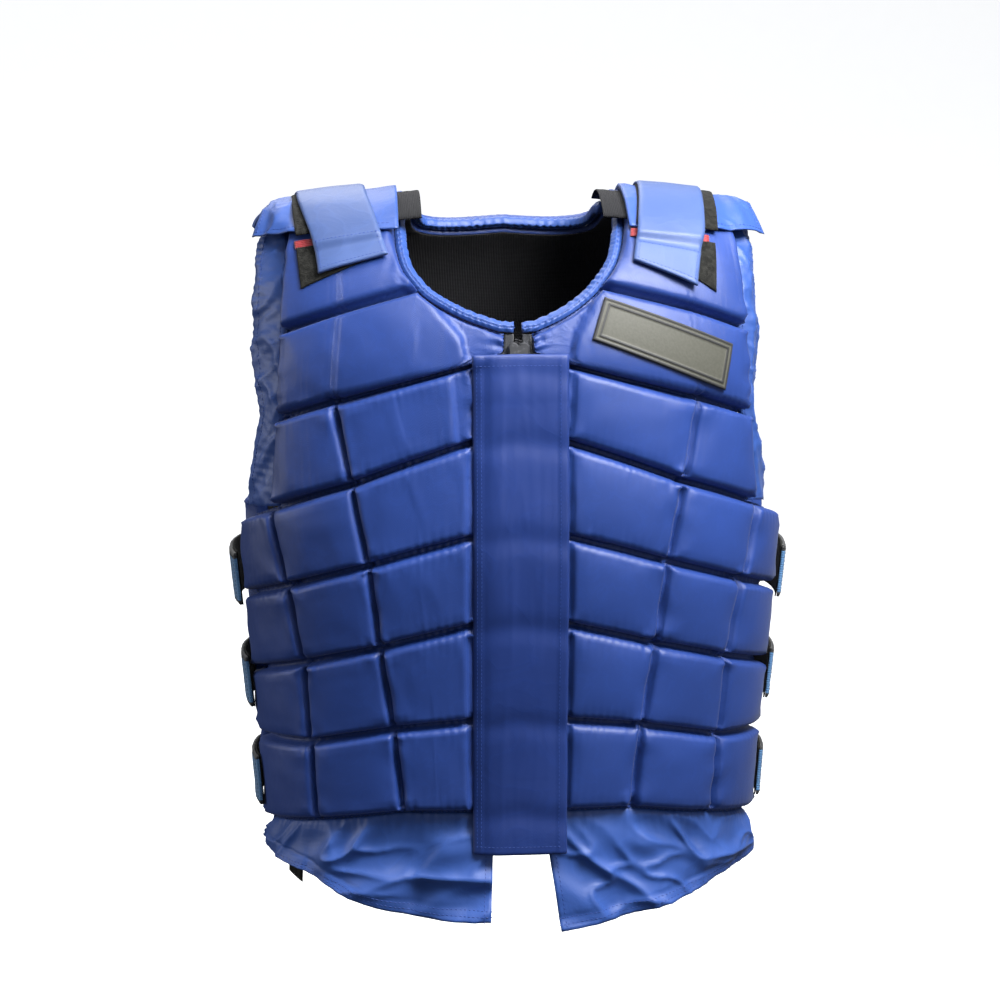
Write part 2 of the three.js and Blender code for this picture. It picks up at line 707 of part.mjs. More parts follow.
// Side strap and the hook layer under it, from the front panel round the side to the back panel.
function addSideStrap(label, height, turn) {
  const half = sideStrapHeight / 2;
  const angles = shares(7).map((share) => mix(sideStrapFrontAngle, sideStrapBackAngle, share));
  const levels = [height - half, height + half];
  const base = padFace + padCrown + clearance;
  const hookAngles = angles.map((angle) => mix(mix(...[sideStrapFrontAngle, sideStrapBackAngle], 0.5), angle, 0.95));
  const hookLevels = levels.map((value) => mix(height, value, 1.04));
  const hook = surfacePiece(hookLevels, hookAngles, base, tapeThickness, turn);
  addPiece(`side_strap_hook_${label}`, hook, colours.velcro, 0.95);
  const face = surfacePiece(levels, angles, base + tapeThickness + clearance, sideStrapThickness, turn);
  addPiece(`side_strap_${label}`, face, colours.sideStrap, 0.6);
}

// Zip cover flap, seated on the right panel's centre edge and lying over the zip.
function addZipFlap() {
  const rows = shares(12).map((share) => level(mix(flapFootLevel, flapTopLevel, share)));
  const across = [-1, -0.7, 0, 0.7, 1];
  const seat = padFace - centreRimDepth + clearance;
  const place = (thickness) => grid(rows, across, (height, share) => {
    const angle = angleAt(share * flapHalfWidth + flapShift, height);
    const isHead = height > level(frontSeams.right[YOKE_SEAM].centre[1]) - flapThickness;
    const rise = isHead ? 1 : Math.sin(Math.min(1, (1 + share) / 0.6) * 90 * DEGREE);
    return over(angle, height, mix(seat, padFace + padCrown + clearance, rise) + thickness);
  });
  addPiece('zip_cover_flap', shell(place(flapThickness), place(0)), colours.flap, 0.6);
}

// Angle round the body where the outer face lies at a given distance from the middle.
function angleAt(x, height) {
  let low = -40;
  let high = 40;
  for (let n = 0; n < 24; n += 1) {
    const middle = (low + high) / 2;
    if (over(middle, height, padFace).x < x) low = middle;
    else high = middle;
  }
  return (low + high) / 2;
}

const centreZones = { trunk: true, armhole: true, yoke: true };
const zipTopLevel = level(0.07);
const zipFootLevel = level(-0.575);

// Zip tapes from each panel's centre edge to the teeth.
function addZip() {
  const toothEdge = (height) => angleAt(zipHalfWidth + clearance, height);
  const edge = quilt(frontSeams.right).filter(({ zone }) => zone in centreZones).map(({ stations }) => stations[0]);
  for (const [label, turn] of sides) {
    const place = (lift) => grid(edge, shares(2), ([angle, height], share) => {
      const outer = angle - bandClearance / padEdgeWidth * 2.5;
      return over(turn(mix(toothEdge(height), outer, share)), height, lift);
    });
    const tape = shell(place(zipTapeLift + zipTapeThickness), place(zipTapeLift));
    addPiece(`zip_tape_${label}`, tape, colours.zipTape, 0.85);
  }
  const count = Math.round((zipTopLevel - zipFootLevel) / zipToothPitch);
  const toothHeights = shares(count).map((share) => mix(zipFootLevel, zipTopLevel, share));
  const across = [-zipHalfWidth, zipHalfWidth];
  const place = (lift) => grid(toothHeights, across, (height, x, i) => over(angleAt(x, height), height, lift(i)));
  const face = zipTapeLift + zipTapeThickness;
  const teeth = shell(place((i) => face + (i % 2) * zipToothHeight), place(() => zipTapeLift));
  addPiece('zip_teeth', teeth, colours.zip, 0.5, 0.3);
}

// Two-lobed slider at the top of the zip, and its pull lying down the teeth.
function addZipSlider() {
  const half = sliderWidth / 2;
  const lobe = half * 0.52;
  const outline = new THREE.Shape();
  outline.moveTo(-half * 0.7, -sliderLength / 2);
  outline.lineTo(half * 0.7, -sliderLength / 2);
  outline.lineTo(half, sliderLength * 0.2);
  outline.absarc(half - lobe, sliderLength * 0.28, lobe, 0, 160 * DEGREE);
  outline.lineTo(0, sliderLength * 0.3);
  outline.absarc(lobe - half, sliderLength * 0.28, lobe, 20 * DEGREE, 180 * DEGREE);
  outline.closePath();
  const bevel = sliderThickness / 5;
  const body = new THREE.ExtrudeGeometry(outline, {
    depth: sliderThickness - 2 * bevel,
    bevelThickness: bevel,
    bevelSize: bevel,
    bevelOffset: -bevel,
    bevelSegments: 1,
    curveSegments: 5,
  });
  body.translate(0, 0, bevel);
  const sliderLevel = zipTopLevel - sliderLength / 2 + clearance;
  const seat = zipTapeLift + zipTapeThickness + zipToothHeight + clearance;
  const slider = addPiece('zip_slider', body, colours.zip, 0.4, 0.5);
  seatOn(slider, sliderLevel, seat);
  const pullShape = new THREE.Shape();
  const pullHalf = pullWidth / 2;
  pullShape.moveTo(-pullHalf, 0);
  pullShape.lineTo(-pullHalf, -pullLength + pullHalf);
  pullShape.absarc(0, -pullLength + pullHalf, pullHalf, 180 * DEGREE, 360 * DEGREE);
  pullShape.lineTo(pullHalf, 0);
  pullShape.closePath();
  const pullBody = new THREE.ExtrudeGeometry(pullShape, {
    depth: pullThickness,
    bevelEnabled: false,
    curveSegments: 6,
  });
  pullBody.translate(0, -sliderLength / 2 - clearance, 0);
  const pull = addPiece('zip_pull', pullBody, colours.zip, 0.4, 0.5);
  seatOn(pull, sliderLevel, seat + 0.3 * sliderThickness);
}

// Lays a piece drawn in its own XY plane on the front of the body at the middle.
function seatOn(mesh, height, lift) {
  const normal = bodyNormal(0, height);
  const right = new THREE.Vector3(1, 0, 0);
  const up = normal.clone().cross(right).normalize();
  mesh.quaternion.setFromRotationMatrix(new THREE.Matrix4().makeBasis(right, up, normal));
  mesh.position.copy(over(0, height, lift));
}

// Bare rubber label with a raised frame, on the left yoke.
function addLabel() {
  const frameLines = [0, 0.025, 0.05, 0.35, 0.65, 0.95, 0.975, 1];
  const sideLines = [0, 0.07, 0.14, 0.86, 0.93, 1];
  const corner = (name) => [labelCorners[name][0], level(labelCorners[name][1])];
  const base = padFace + padCrown + 3 * clearance;
  const place = (lift) => grid(sideLines, frameLines, (up, out, i, j) => {
    const angleLow = mix(corner('bottomInner')[0], corner('bottomOuter')[0], out);
    const angleHigh = mix(corner('topInner')[0], corner('topOuter')[0], out);
    const heightLow = mix(corner('bottomInner')[1], corner('bottomOuter')[1], out);
    const heightHigh = mix(corner('topInner')[1], corner('topOuter')[1], out);
    return over(mix(angleLow, angleHigh, up), mix(heightLow, heightHigh, up), base + lift(i, j));
  });
  const onFrame = (i, j) => i === 1 || j === 1 || i === sideLines.length - 2 || j === frameLines.length - 2;
  const face = place((i, j) => patchThickness + (onFrame(i, j) ? patchFrameHeight : 0));
  addPiece('label_patch', shell(face, place(() => 0)), colours.label, 0.6);
}

// Black webbing tab sewn inside the right skirt, hanging past its hem.
function addHemTab(turn) {
  const hemLevel = level(smoothColumn(rightHem, 'angle', tabAngle, 'level'));
  const heights = shares(2).map((share) => hemLevel - tabLength * (0.6 - share));
  const halfAngle = 0.16 * tabWidth;
  const angles = [tabAngle - halfAngle, tabAngle, tabAngle + halfAngle];
  const back = skirtThickness + bandClearance + 2 * clearance;
  const place = (lift) => grid(heights, angles, (height, angle) => (
    over(turn(angle), height, skirtLift(angle, 1) - back - lift)
  ));
  addPiece('hem_tab', shell(place(0), place(tapeThickness)), colours.velcro, 0.9);
}

for (const [label, turn] of sides) {
  const back = (angle) => 180 - turn(angle);
  const seams = frontSeams[label];
  addPanel(`front_${label}_panel`, seams, false, turn);
  addLining(`front_${label}_lining`, seams, false, turn);
  addArmholeBand(`front_${label}_armhole_band`, seams, frontBandEdge[label], bandTurnOut[label], turn);
  addArmholeBand(`back_${label}_armhole_band`, backSeams, backBandEdge, bandTurnOut.back, back);
  addNeckBinding(`front_${label}_neck_binding`, neckEdge(seams), turn, label === 'right' ? 1 : -1);
  addShoulderWing(label, turn);
  addShoulderTapes(label, strapLean[label], turn);
  addShoulderStrap(`shoulder_strap_${label}`, strapLean[label], turn);
  sideStrapLevels.forEach((share, n) => {
    addSideStrap(`${label}_${n + 1}`, level(share), turn);
  });
}

addPanel('back_panel', backSeams, true, (angle) => 180 - angle);
addLining('back_lining', backSeams, true, (angle) => 180 - angle);
const halfNeck = neckEdge(backSeams);
const wholeNeck = [...halfNeck.slice(1).reverse().map(([angle, height]) => [-angle, height]), ...halfNeck];
addNeckBinding('back_neck_binding', wholeNeck, (angle) => 180 - angle, 1);

addSkirt('front_right_skirt', frontSeams.right, rightHem, { top: 4, hem: 4.8 }, { top: 84, hem: 86 }, 22, sides[0][1]);
addSkirt('front_left_skirt', frontSeams.left, leftHem, { top: 4.2, hem: 7.6 }, { top: 84, hem: 86 }, 22, sides[1][1]);
addSkirt('back_skirt', backSeams, backHem, { top: -83, hem: -85 }, { top: 83, hem: 85 }, 30, (a) => 180 - a);
addZipFlap();
addZip();
addZipSlider();
addLabel();
addHemTab(sides[0][1]);

export default vest;
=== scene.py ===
"""Riding body protector: quilted cover, gathered edges, straps and zip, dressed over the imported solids.

Lengths are in millimetres until a mesh is made. The front faces -Y, +Z is up, and z = 0 is the level
of the wearer's shoulders. Right and left are the wearer's: right is -X. A place on the vest is given
as an angle round the body (0 front, 90 left, 180 back), a level over the body from the armpit line,
and a lift off the body.
"""

import math
from collections import namedtuple

import bmesh
import bpy
import numpy as np
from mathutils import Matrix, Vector


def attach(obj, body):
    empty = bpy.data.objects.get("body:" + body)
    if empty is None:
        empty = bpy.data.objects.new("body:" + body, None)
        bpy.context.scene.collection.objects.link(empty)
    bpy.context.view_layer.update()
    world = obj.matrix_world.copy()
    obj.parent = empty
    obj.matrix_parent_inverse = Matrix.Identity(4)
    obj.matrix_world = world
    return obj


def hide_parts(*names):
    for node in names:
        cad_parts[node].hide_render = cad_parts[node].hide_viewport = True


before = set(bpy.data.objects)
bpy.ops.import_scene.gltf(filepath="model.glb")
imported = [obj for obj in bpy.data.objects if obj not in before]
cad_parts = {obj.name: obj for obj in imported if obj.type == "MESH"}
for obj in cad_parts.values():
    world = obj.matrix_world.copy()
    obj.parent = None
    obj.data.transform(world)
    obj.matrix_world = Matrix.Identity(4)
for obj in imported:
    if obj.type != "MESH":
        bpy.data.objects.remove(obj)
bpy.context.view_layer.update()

METRE = 0.001

# The body inside the vest.
BODY_LENGTH = 530
ARMPIT_DROP = 120
CHEST_HALF_WIDTH = 185
CHEST_FRONT_DEPTH = 106
CHEST_BACK_DEPTH = 100
SQUARENESS = 2.35
SHOULDER_SLOPE = 0.1
SHOULDER_DROOP = 0.13
NECK_POINT_SHARE = 0.362
ARCH_LENGTH = 0.327 * BODY_LENGTH

# Lifts off the body.
LINING_THICKNESS = 1.5
PAD_BACK = 2.45
PAD_FACE = 22.45
RIM_DEPTH = 9
CENTRE_RIM_DEPTH = 4
SEAM_DEPTH = 13
TRUNK_SEAM_DEPTH = 10
UPRIGHT_DEPTH = 6.5
SKIRT_FLARE = 8
SKIRT_FOLD_DEPTH = 3
BAND_THICKNESS = 8
BAND_CREST = 2.5
BINDING_WIDTH = 8
BINDING_THICKNESS = 8
WING_BASE = PAD_FACE + 0.6
WING_THICKNESS = 4.5
WING_CURL = 2
WING_FACE = WING_BASE + WING_THICKNESS
TAPE_THICKNESS = 1.3
STRAP_THICKNESS = 3
SIDE_STRAP_HEIGHT = 39
SIDE_STRAP_THICKNESS = 2.5
PATCH_BASE = PAD_FACE + 2.1
PATCH_THICKNESS = 2
ZIP_TAPE_LIFT = 8
ZIP_TAPE_THICKNESS = 2

# Sections of the body by drop under the shoulders, as shares of its length, width and depths.
BODY_DROP = (0.226, 0.415, 0.566, 0.717, 0.849, 1)
BODY_WIDTH = (0.989, 1, 0.965, 0.925, 0.9, 0.91)
BODY_FRONT = (0.943, 1, 0.962, 0.906, 0.906, 0.953)
BODY_BACK = (0.98, 1, 0.92, 0.86, 0.91, 1)

# Quilting seams from the skirt up: the zone of pads above, then angle and level share at each upright
# seam. The armhole zone has no side pads and the shoulder leaves out the neck. A plain line only
# shapes the pad that it crosses.
Seam = namedtuple("Seam", "zone centre first second side neck plain", defaults=(None, False))


def front_seams(corner, bend):
    """Seams of a front half. Its neckline has a corner and a bend, at these angles."""
    return (
        Seam("trunk", (7.1, -0.577), (25, -0.579), (52, -0.602), (85, -0.63)),
        Seam("trunk", (7.1, -0.44), (26.4, -0.455), (52, -0.485), (84, -0.5)),
        Seam("trunk", (6.9, -0.302), (28.7, -0.338), (52, -0.369), (82, -0.402)),
        Seam("trunk", (6.7, -0.181), (30.4, -0.223), (55, -0.26), (80, -0.29)),
        Seam("armhole", (6.7, -0.053), (34.5, -0.115), (60.5, -0.157), (77, -0.178)),
        Seam("yoke", (7.4, 0.043), (39.5, -0.002), (58.8, -0.032), (58.8, -0.032)),
        Seam("yoke", (2.2, 0.056), (39.3, 0.016), (58.4, -0.013), (58.4, -0.013), plain=True),
        Seam("shoulder", (2, 0.077), (38, 0.109), (57.5, 0.085), (57.5, 0.085), neck=(corner, 0.132)),
        Seam("shoulder", (12, 0.17), (38, 0.18), (57.3, 0.165), (57.3, 0.165), (bend, 0.192), True),
        Seam("end", (18, 0.32), (38, 0.32), (57, 0.32), (57, 0.32), neck=(24.2, 0.32)),
    )


FRONT_SEAMS = {"right": front_seams(18.5, 23.6), "left": front_seams(15.2, 21)}
NECK_SAG = 3.2
NECK_SAG_SHARE = 0.55
NECK_MEETING = 0.5
BACK_SEAMS = (
    Seam("trunk", (0, -0.587), (26, -0.587), (54, -0.602), (84, -0.63)),
    Seam("trunk", (0, -0.462), (26, -0.465), (54, -0.48), (83, -0.5)),
    Seam("trunk", (0, -0.337), (26, -0.342), (54, -0.365), (81, -0.4)),
    Seam("trunk", (0, -0.212), (26, -0.22), (56, -0.25), (79, -0.29)),
    Seam("armhole", (0, -0.087), (26, -0.1), (60.5, -0.14), (76, -0.178)),
    Seam("yoke", (0, 0.04), (28, 0.025), (60, -0.02), (60, -0.02)),
    Seam("yoke", (0, 0.058), (28, 0.043), (59.5, -0.001), (59.5, -0.001), plain=True),
    Seam("shoulder", (0, 0.2), (38, 0.19), (58, 0.12), (58, 0.12), neck=(17, 0.222)),
    Seam("end", (19, 0.32), (38, 0.32), (57, 0.32), (57, 0.32), neck=(20, 0.32)),
)
NECK_LINE, FIRST_LINE, SECOND_LINE, SIDE_LINE = 1, 2, 3, 4

# Outer edge of each gathered armhole band: level share, angle.
FRONT_BAND_EDGE = {
    "right": (
        (-0.166, 78.5), (-0.136, 78), (-0.085, 75), (-0.035, 71), (0.03, 75),
        (0.085, 77), (0.14, 75.5), (0.205, 75.5), (0.315, 73),
    ),
    "left": (
        (-0.166, 78), (-0.136, 77), (-0.085, 72), (-0.035, 66.5), (0.03, 69),
        (0.085, 71), (0.14, 70), (0.205, 71), (0.315, 70),
    ),
}
BAND_TURN_OUT = {"right": 2.5, "left": -2.5, "back": -0.75}
BACK_BAND_EDGE = (
    (-0.162, 76), (-0.13, 73), (-0.07, 68), (0.0, 67.5), (0.1, 69), (0.2, 70), (0.315, 71),
)

# Hem of each skirt: angle, level share.
RIGHT_HEM = ((4.8, -0.732), (20, -0.73), (38, -0.711), (54, -0.684), (68, -0.675), (86, -0.663))
LEFT_HEM = ((7.6, -0.75), (20, -0.738), (40, -0.717), (60, -0.698), (77, -0.692), (86, -0.674))
BACK_HEM = ((0, -0.735), (30, -0.727), (55, -0.71), (76, -0.69), (85, -0.675))
SKIRT_FOLDS = ((5.2, 0.4, 0.55), (11, 2.1, 0.3), (17, 4, 0.15))

# Shoulder straps: level share, inner angle, outer angle, from the front end to the back seam.
STRAP_LEVELS = (0.15, 0.212, 0.27, 0.33, 0.39)
STRAP_INNER = (23.5, 25.3, 27, 28, 28)
STRAP_OUTER = (41.5, 44.3, 46.6, 48, 48)

# How each strap and its tapes lie on that run: shares of the body's length, and degrees.
STRAP_END_SLANT = {"right": 0.02, "left": 0.03}
STRAP_END = {"right": 0.1645, "left": 0.1485}
STRAP_TOP_LEAN = {"right": 2.2, "left": 0}
STRAP_TOP_SPREAD = {"right": 3.4, "left": 0}
STRAP_TIP_INSET = {"right": 0, "left": 2}
PATCH_SLANT = {"right": 0.035, "left": 0.055}
PATCH_SHIFT = {"right": 5, "left": 3}
RED_SHIFT = {"right": 5, "left": 0.5}
WING_TAPE_SHIFT = {"right": 2.9, "left": 2.2}
STRAP_TURN = (0.188, 0.2)

# Side straps: level share of each, and the angles of their ends.
SIDE_STRAP_LEVELS = (-0.268, -0.418, -0.566)
SIDE_STRAP_ENDS = (79, 112)

# Label's corners by angle and level share. Flap and zip by level shares, the flap's edges in millimetres.
LABEL_TOP = ((15.4, 0.1155), (49.2, 0.063))
LABEL_BOTTOM = ((12.5, 0.068), (46.3, 0.0073))
FLAP_LEVELS = (-0.636, 0.0525)
FLAP_EDGES = (-34, 35)
ZIP_LEVELS = (-0.575, 0.07)


def signed_power(value, power):
    return np.sign(value) * np.abs(value) ** power


def mix(start, end, share):
    return start + (end - start) * share


def smooth_curve(keys, values, at):
    """Smooth curve through values at rising keys, flat past both ends."""
    keys, values = np.asarray(keys, float), np.asarray(values, float)
    slopes = np.gradient(values, keys)
    slopes[1:-1] = (values[2:] - values[:-2]) / (keys[2:] - keys[:-2])
    held = np.clip(at, keys[0], keys[-1])
    cell = np.clip(np.searchsorted(keys, held, "right") - 1, 0, len(keys) - 2)
    span = keys[cell + 1] - keys[cell]
    t = (held - keys[cell]) / span
    ends = values[cell] * (2 * t**3 - 3 * t**2 + 1) + values[cell + 1] * (3 * t**2 - 2 * t**3)
    return ends + span * (slopes[cell] * (t**3 - 2 * t**2 + t) + slopes[cell + 1] * (t**3 - t**2))


def value_noise(x, y, seed):
    """Smooth random height from -1 to 1, with features one unit wide."""
    lattice = np.random.default_rng(seed).uniform(-1, 1, (64, 64))
    column, row = np.floor(x).astype(int), np.floor(y).astype(int)
    across, up = x - column, y - row
    across, up = across**2 * (3 - 2 * across), up**2 * (3 - 2 * up)

    def corner(i, j):
        return lattice[(column + i) % 64, (row + j) % 64]

    return mix(mix(corner(0, 0), corner(1, 0), across), mix(corner(0, 1), corner(1, 1), across), up)


def creases(x, y, seed):
    """Sharp-backed crumples from 0 to 1, as thin nylon takes."""
    coarse = 1 - np.abs(value_noise(x + 0.7 * value_noise(x, y, seed + 1), y, seed + 2))
    fine = 1 - np.abs(value_noise(2.1 * x, 2.1 * y + 0.8 * value_noise(x, y, seed + 3), seed + 4))
    return 0.65 * coarse**3 + 0.35 * fine**3


def body_point(angle, level):
    """Points on the wearer's body. Past the shoulder ridge the level goes on down the back."""
    turn = np.radians(angle)
    across = signed_power(np.sin(turn), 2 / SQUARENESS)
    forward = signed_power(np.cos(turn), 2 / SQUARENESS)
    drop = np.maximum(ARMPIT_DROP, ARMPIT_DROP - level) / BODY_LENGTH
    x = across * CHEST_HALF_WIDTH * smooth_curve(BODY_DROP, BODY_WIDTH, drop)
    arch = np.radians(np.maximum(0, level / ARCH_LENGTH * 90))
    facing = forward * np.cos(arch)
    front = CHEST_FRONT_DEPTH * smooth_curve(BODY_DROP, BODY_FRONT, drop)
    back = CHEST_BACK_DEPTH * smooth_curve(BODY_DROP, BODY_BACK, drop)
    out = np.abs(x) / CHEST_HALF_WIDTH
    droop = SHOULDER_DROOP * np.maximum(0, out - 0.7) ** 2
    shoulder = CHEST_HALF_WIDTH * (SHOULDER_SLOPE * (NECK_POINT_SHARE - out) - droop)
    z = np.where(level > 0, (shoulder + ARMPIT_DROP) * np.sin(arch), level) - ARMPIT_DROP
    return np.stack(np.broadcast_arrays(x, -np.where(facing > 0, front, back) * facing, z), -1)


def unit(vectors):
    return vectors / np.maximum(np.linalg.norm(vectors, axis=-1, keepdims=True), 1e-9)


def body_normal(angle, level):
    step = 0.02
    around = body_point(angle + step, level) - body_point(angle - step, level)
    rise = body_point(angle, level + step) - body_point(angle, level - step)
    return unit(np.cross(around, rise))


def over(angle, level, lift):
    """Points at a lift off the body, along its outward normal."""
    angle, level, lift = np.broadcast_arrays(angle, level, np.asarray(lift, float))
    return body_point(angle, level) + body_normal(angle, level) * lift[..., None]


def run_lengths(points, axis):
    """Length along a grid's rows or columns, from nothing at its start."""
    steps = np.linalg.norm(np.diff(points, axis=axis), axis=-1)
    start = [(0, 0), (0, 0)]
    start[axis] = (1, 0)
    return np.pad(np.cumsum(steps, axis=axis), start)


def rows_of(count, low=0.0, high=1.0):
    return np.linspace(low, high, count)[:, None]


def columns_of(count, low=0.0, high=1.0):
    return np.linspace(low, high, count)[None, :]


def cloth_piece(name, layers, keep=None, facts=None):
    """Mesh from one grid of points, or a closed one from an outer and an inner grid.

    keep says which cells are there, and facts holds a value for each point by attribute name.
    """
    rows, columns = layers[0].shape[:2]
    keep = np.ones((rows - 1, columns - 1), bool) if keep is None else keep
    number = np.arange(rows * columns).reshape(rows, columns)
    low, right = number[:-1, :-1], number[:-1, 1:]
    opposite, up = number[1:, 1:], number[1:, :-1]
    cells = np.stack([low, right, opposite, up], -1)
    faces = [cells[keep]]
    if len(layers) > 1:
        below = rows * columns
        faces.append(cells[keep][:, ::-1] + below)
        around = np.pad(keep, 1)
        neighbours = (around[:-2, 1:-1], around[1:-1, 2:], around[2:, 1:-1], around[1:-1, :-2])
        for first, neighbour in enumerate(neighbours):
            second = (first + 1) % 4
            edge = cells[keep & ~neighbour]
            wall = [edge[:, second], edge[:, first], edge[:, first] + below, edge[:, second] + below]
            faces.append(np.stack(wall, -1))
    faces = np.concatenate(faces)
    points = np.concatenate([layer.reshape(-1, 3) for layer in layers]) * METRE
    used, packed = np.unique(faces, return_inverse=True)
    mesh = bpy.data.meshes.new(name)
    mesh.from_pydata(points[used].tolist(), [], packed.reshape(-1, 4).tolist())
    chart = np.stack([run_lengths(layers[0], 1), run_lengths(layers[0], 0)], -1).reshape(-1, 2) * METRE
    chart = np.concatenate([chart] * len(layers))[used]
    loops = np.empty(len(mesh.loops), int)
    mesh.loops.foreach_get("vertex_index", loops)
    mesh.uv_layers.new(name="cloth").data.foreach_set("uv", chart[loops].ravel())
    for fact, values in (facts or {}).items():
        values = np.concatenate([values.ravel()] * len(layers))[used]
        mesh.attributes.new(fact, "FLOAT", "POINT").data.foreach_set("value", values)
    mesh.polygons.foreach_set("use_smooth", [True] * len(mesh.polygons))
    if len(layers) > 1:
        face_outwards(mesh)
    piece = bpy.data.objects.new(name, mesh)
    bpy.context.scene.collection.objects.link(piece)
    return piece


def face_outwards(mesh):
    shape = bmesh.new()
    shape.from_mesh(mesh)
    bmesh.ops.remove_doubles(shape, verts=shape.verts, dist=1e-6)
    bmesh.ops.recalc_face_normals(shape, faces=shape.faces)
    shape.to_mesh(mesh)
    shape.free()


def dress(piece, finish, slot, *nodes):
    """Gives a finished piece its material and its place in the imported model."""
    if finish is not None:
        piece.data.materials.clear()
        piece.data.materials.append(finish)
    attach(piece, "root")
    if nodes:
        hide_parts(*nodes)
    return piece


def declare_sheet(outer, keep=None):
    """Sums the area of an outer grid's kept cells, and does nothing with the sum."""
    diagonals = outer[1:, 1:] - outer[:-1, :-1], outer[1:, :-1] - outer[:-1, 1:]
    cells = np.linalg.norm(np.cross(*diagonals), axis=-1)
    area = float((cells / 2)[keep if keep is not None else slice(None)].sum()) * METRE**2


class Signal:
    """A shader socket that can be written into a sum."""

    def __init__(self, finish, socket):
        self.finish = finish
        self.socket = socket

    def combine(self, operation, *values):
        return self.finish.node("ShaderNodeMath", {"operation": operation}, dict(enumerate(values)))

    def __add__(self, other):
        return self.combine("ADD", self, other)

    def __sub__(self, other):
        return self.combine("SUBTRACT", self, other)

    def __rsub__(self, other):
        return self.combine("SUBTRACT", other, self)

    def __mul__(self, other):
        return self.combine("MULTIPLY", self, other)

    def __pow__(self, other):
        return self.combine("POWER", self, other)

    def __abs__(self):
        return self.combine("ABSOLUTE", self)

    __radd__, __rmul__ = __add__, __mul__

    def sine(self):
        return self.combine("SINE", self)

    def between(self, low, high):
        """0 up to low, 1 from high on, smooth between."""
        settings = {"interpolation_type": "SMOOTHSTEP"}
        return self.finish.node("ShaderNodeMapRange", settings, {0: self, 1: low, 2: high})


class Finish:
    """A material under construction, built round one Principled surface."""

    def __init__(self, name, **constants):
        self.material = bpy.data.materials.new(name)
        self.material.use_nodes = True
        self.tree = self.material.node_tree
        self.surface = self.tree.nodes["Principled BSDF"]
        for socket, value in constants.items():
            self.surface.inputs[socket.replace("_", " ")].default_value = value

    def node(self, kind, settings=None, inputs=None, output=0):
        made = self.tree.nodes.new(kind)
        for key, value in (settings or {}).items():
            setattr(made, key, value)
        for key, value in (inputs or {}).items():
            self.feed(made.inputs[key], value)
        return Signal(self, made.outputs[output])

    def feed(self, socket, value):
        if isinstance(value, Signal):
            self.tree.links.new(value.socket, socket)
        else:
            socket.default_value = value

    def place(self):
        return self.node("ShaderNodeTexCoord", output="Object")

    def chart(self, axis):
        """Distance over the cloth, in metres: 0 along a row, 1 along a column."""
        chart = self.node("ShaderNodeUVMap", {"uv_map": "cloth"})
        return self.node("ShaderNodeSeparateXYZ", inputs={0: chart}, output=axis)

    def fact(self, name):
        return self.node("ShaderNodeAttribute", {"attribute_name": name}, output="Fac")

    def noise(self, scale, detail=3, stretch=(1, 1, 1), distortion=0):
        where = self.node("ShaderNodeMapping", inputs={"Vector": self.place(), "Scale": stretch})
        sizes = {"Vector": where, "Scale": scale, "Detail": detail, "Distortion": distortion}
        return self.node("ShaderNodeTexNoise", inputs=sizes)

    def blend(self, share, start, end):
        return self.node("ShaderNodeMix", {"data_type": "RGBA"}, {0: share, 6: start, 7: end}, output=2)

    def weave(self, pitch):
        """Plain weave height from 0 to 1 at a thread pitch in millimetres."""
        turns = 2 * math.pi / (2 * pitch * METRE)
        across, along = (self.chart(0) * turns).sine(), (self.chart(1) * turns).sine()
        return across * along * 0.5 + 0.5

    def finish(self, colour, roughness=None, height=None, depth=1.0):
        """Links the varying inputs. height is a relief from 0 to 1, depth its size in millimetres."""
        self.feed(self.surface.inputs["Base Color"], colour)
        if roughness is not None:
            self.feed(self.surface.inputs["Roughness"], roughness)
        if height is not None:
            relief = self.node("ShaderNodeBump", inputs={"Height": height, "Distance": depth * METRE})
            self.feed(self.surface.inputs["Normal"], relief)
        return self.material


def shade(colour, factor):
    return tuple(min(1, part * factor) for part in colour[:3]) + (1,)


NYLON_BLUE = (0.009, 0.0315, 0.16, 1)
# Painted light: the loose wings, skirts, bands and binding are the cover's own nylon, painted lighter than
# the quilted cover.
LOOSE_BLUE_PAINTED_LIGHTER = (0.017, 0.053, 0.215, 1)
FLAP_BLUE = (0.0045, 0.0205, 0.12, 1)
STRAP_BLUE = (0.033, 0.062, 0.172, 1)
SIDE_BLUE = (0.06, 0.16, 0.32, 1)
BLACK_CLOTH = (0.006, 0.006, 0.007, 1)


def nylon_finish(name, colour, crumple=0.5, crease_scale=55, calm=1.0):
    """Satin coated nylon: fine weave, faint crumples, painted shade in the seam grooves and painted
    highlights on pad edges and crease ridges.
    """
    finish = Finish(name, Specular_IOR_Level=0.42, Sheen_Weight=0.06, Sheen_Roughness=0.4)
    cloud = finish.noise(9, 4)
    fine = finish.noise(crease_scale, 4, distortion=0.8)
    ridge = 1 - abs(fine * 2 - 1)
    weave = finish.weave(0.55)
    seam = finish.fact("seam")
    edge = finish.fact("edge")
    tone = finish.blend(cloud.between(0.35, 0.7), shade(colour, 0.9), shade(colour, 1.1))
    # Painted shade: darker towards the bottom of each seam groove.
    tone = finish.blend(seam.between(0.55, 1) * 0.45, tone, shade(colour, 0.5))
    # Painted highlight on the pads' rounded edges, crumple crests and crease ridges; on the shoulder strap
    # the edge weight is its own paler doubled end.
    tone = finish.blend(edge * 0.2 + ridge.between(0.93, 1) * 0.12, tone, shade(colour, 1.55))
    roughness = cloud * 0.1 + weave * 0.05 + 0.4 + edge * 0.05
    loose = seam * 0.6 + edge * 0.3 + calm
    return finish.finish(tone, roughness, ridge**3 * loose * crumple + weave * 0.06, 0.9)


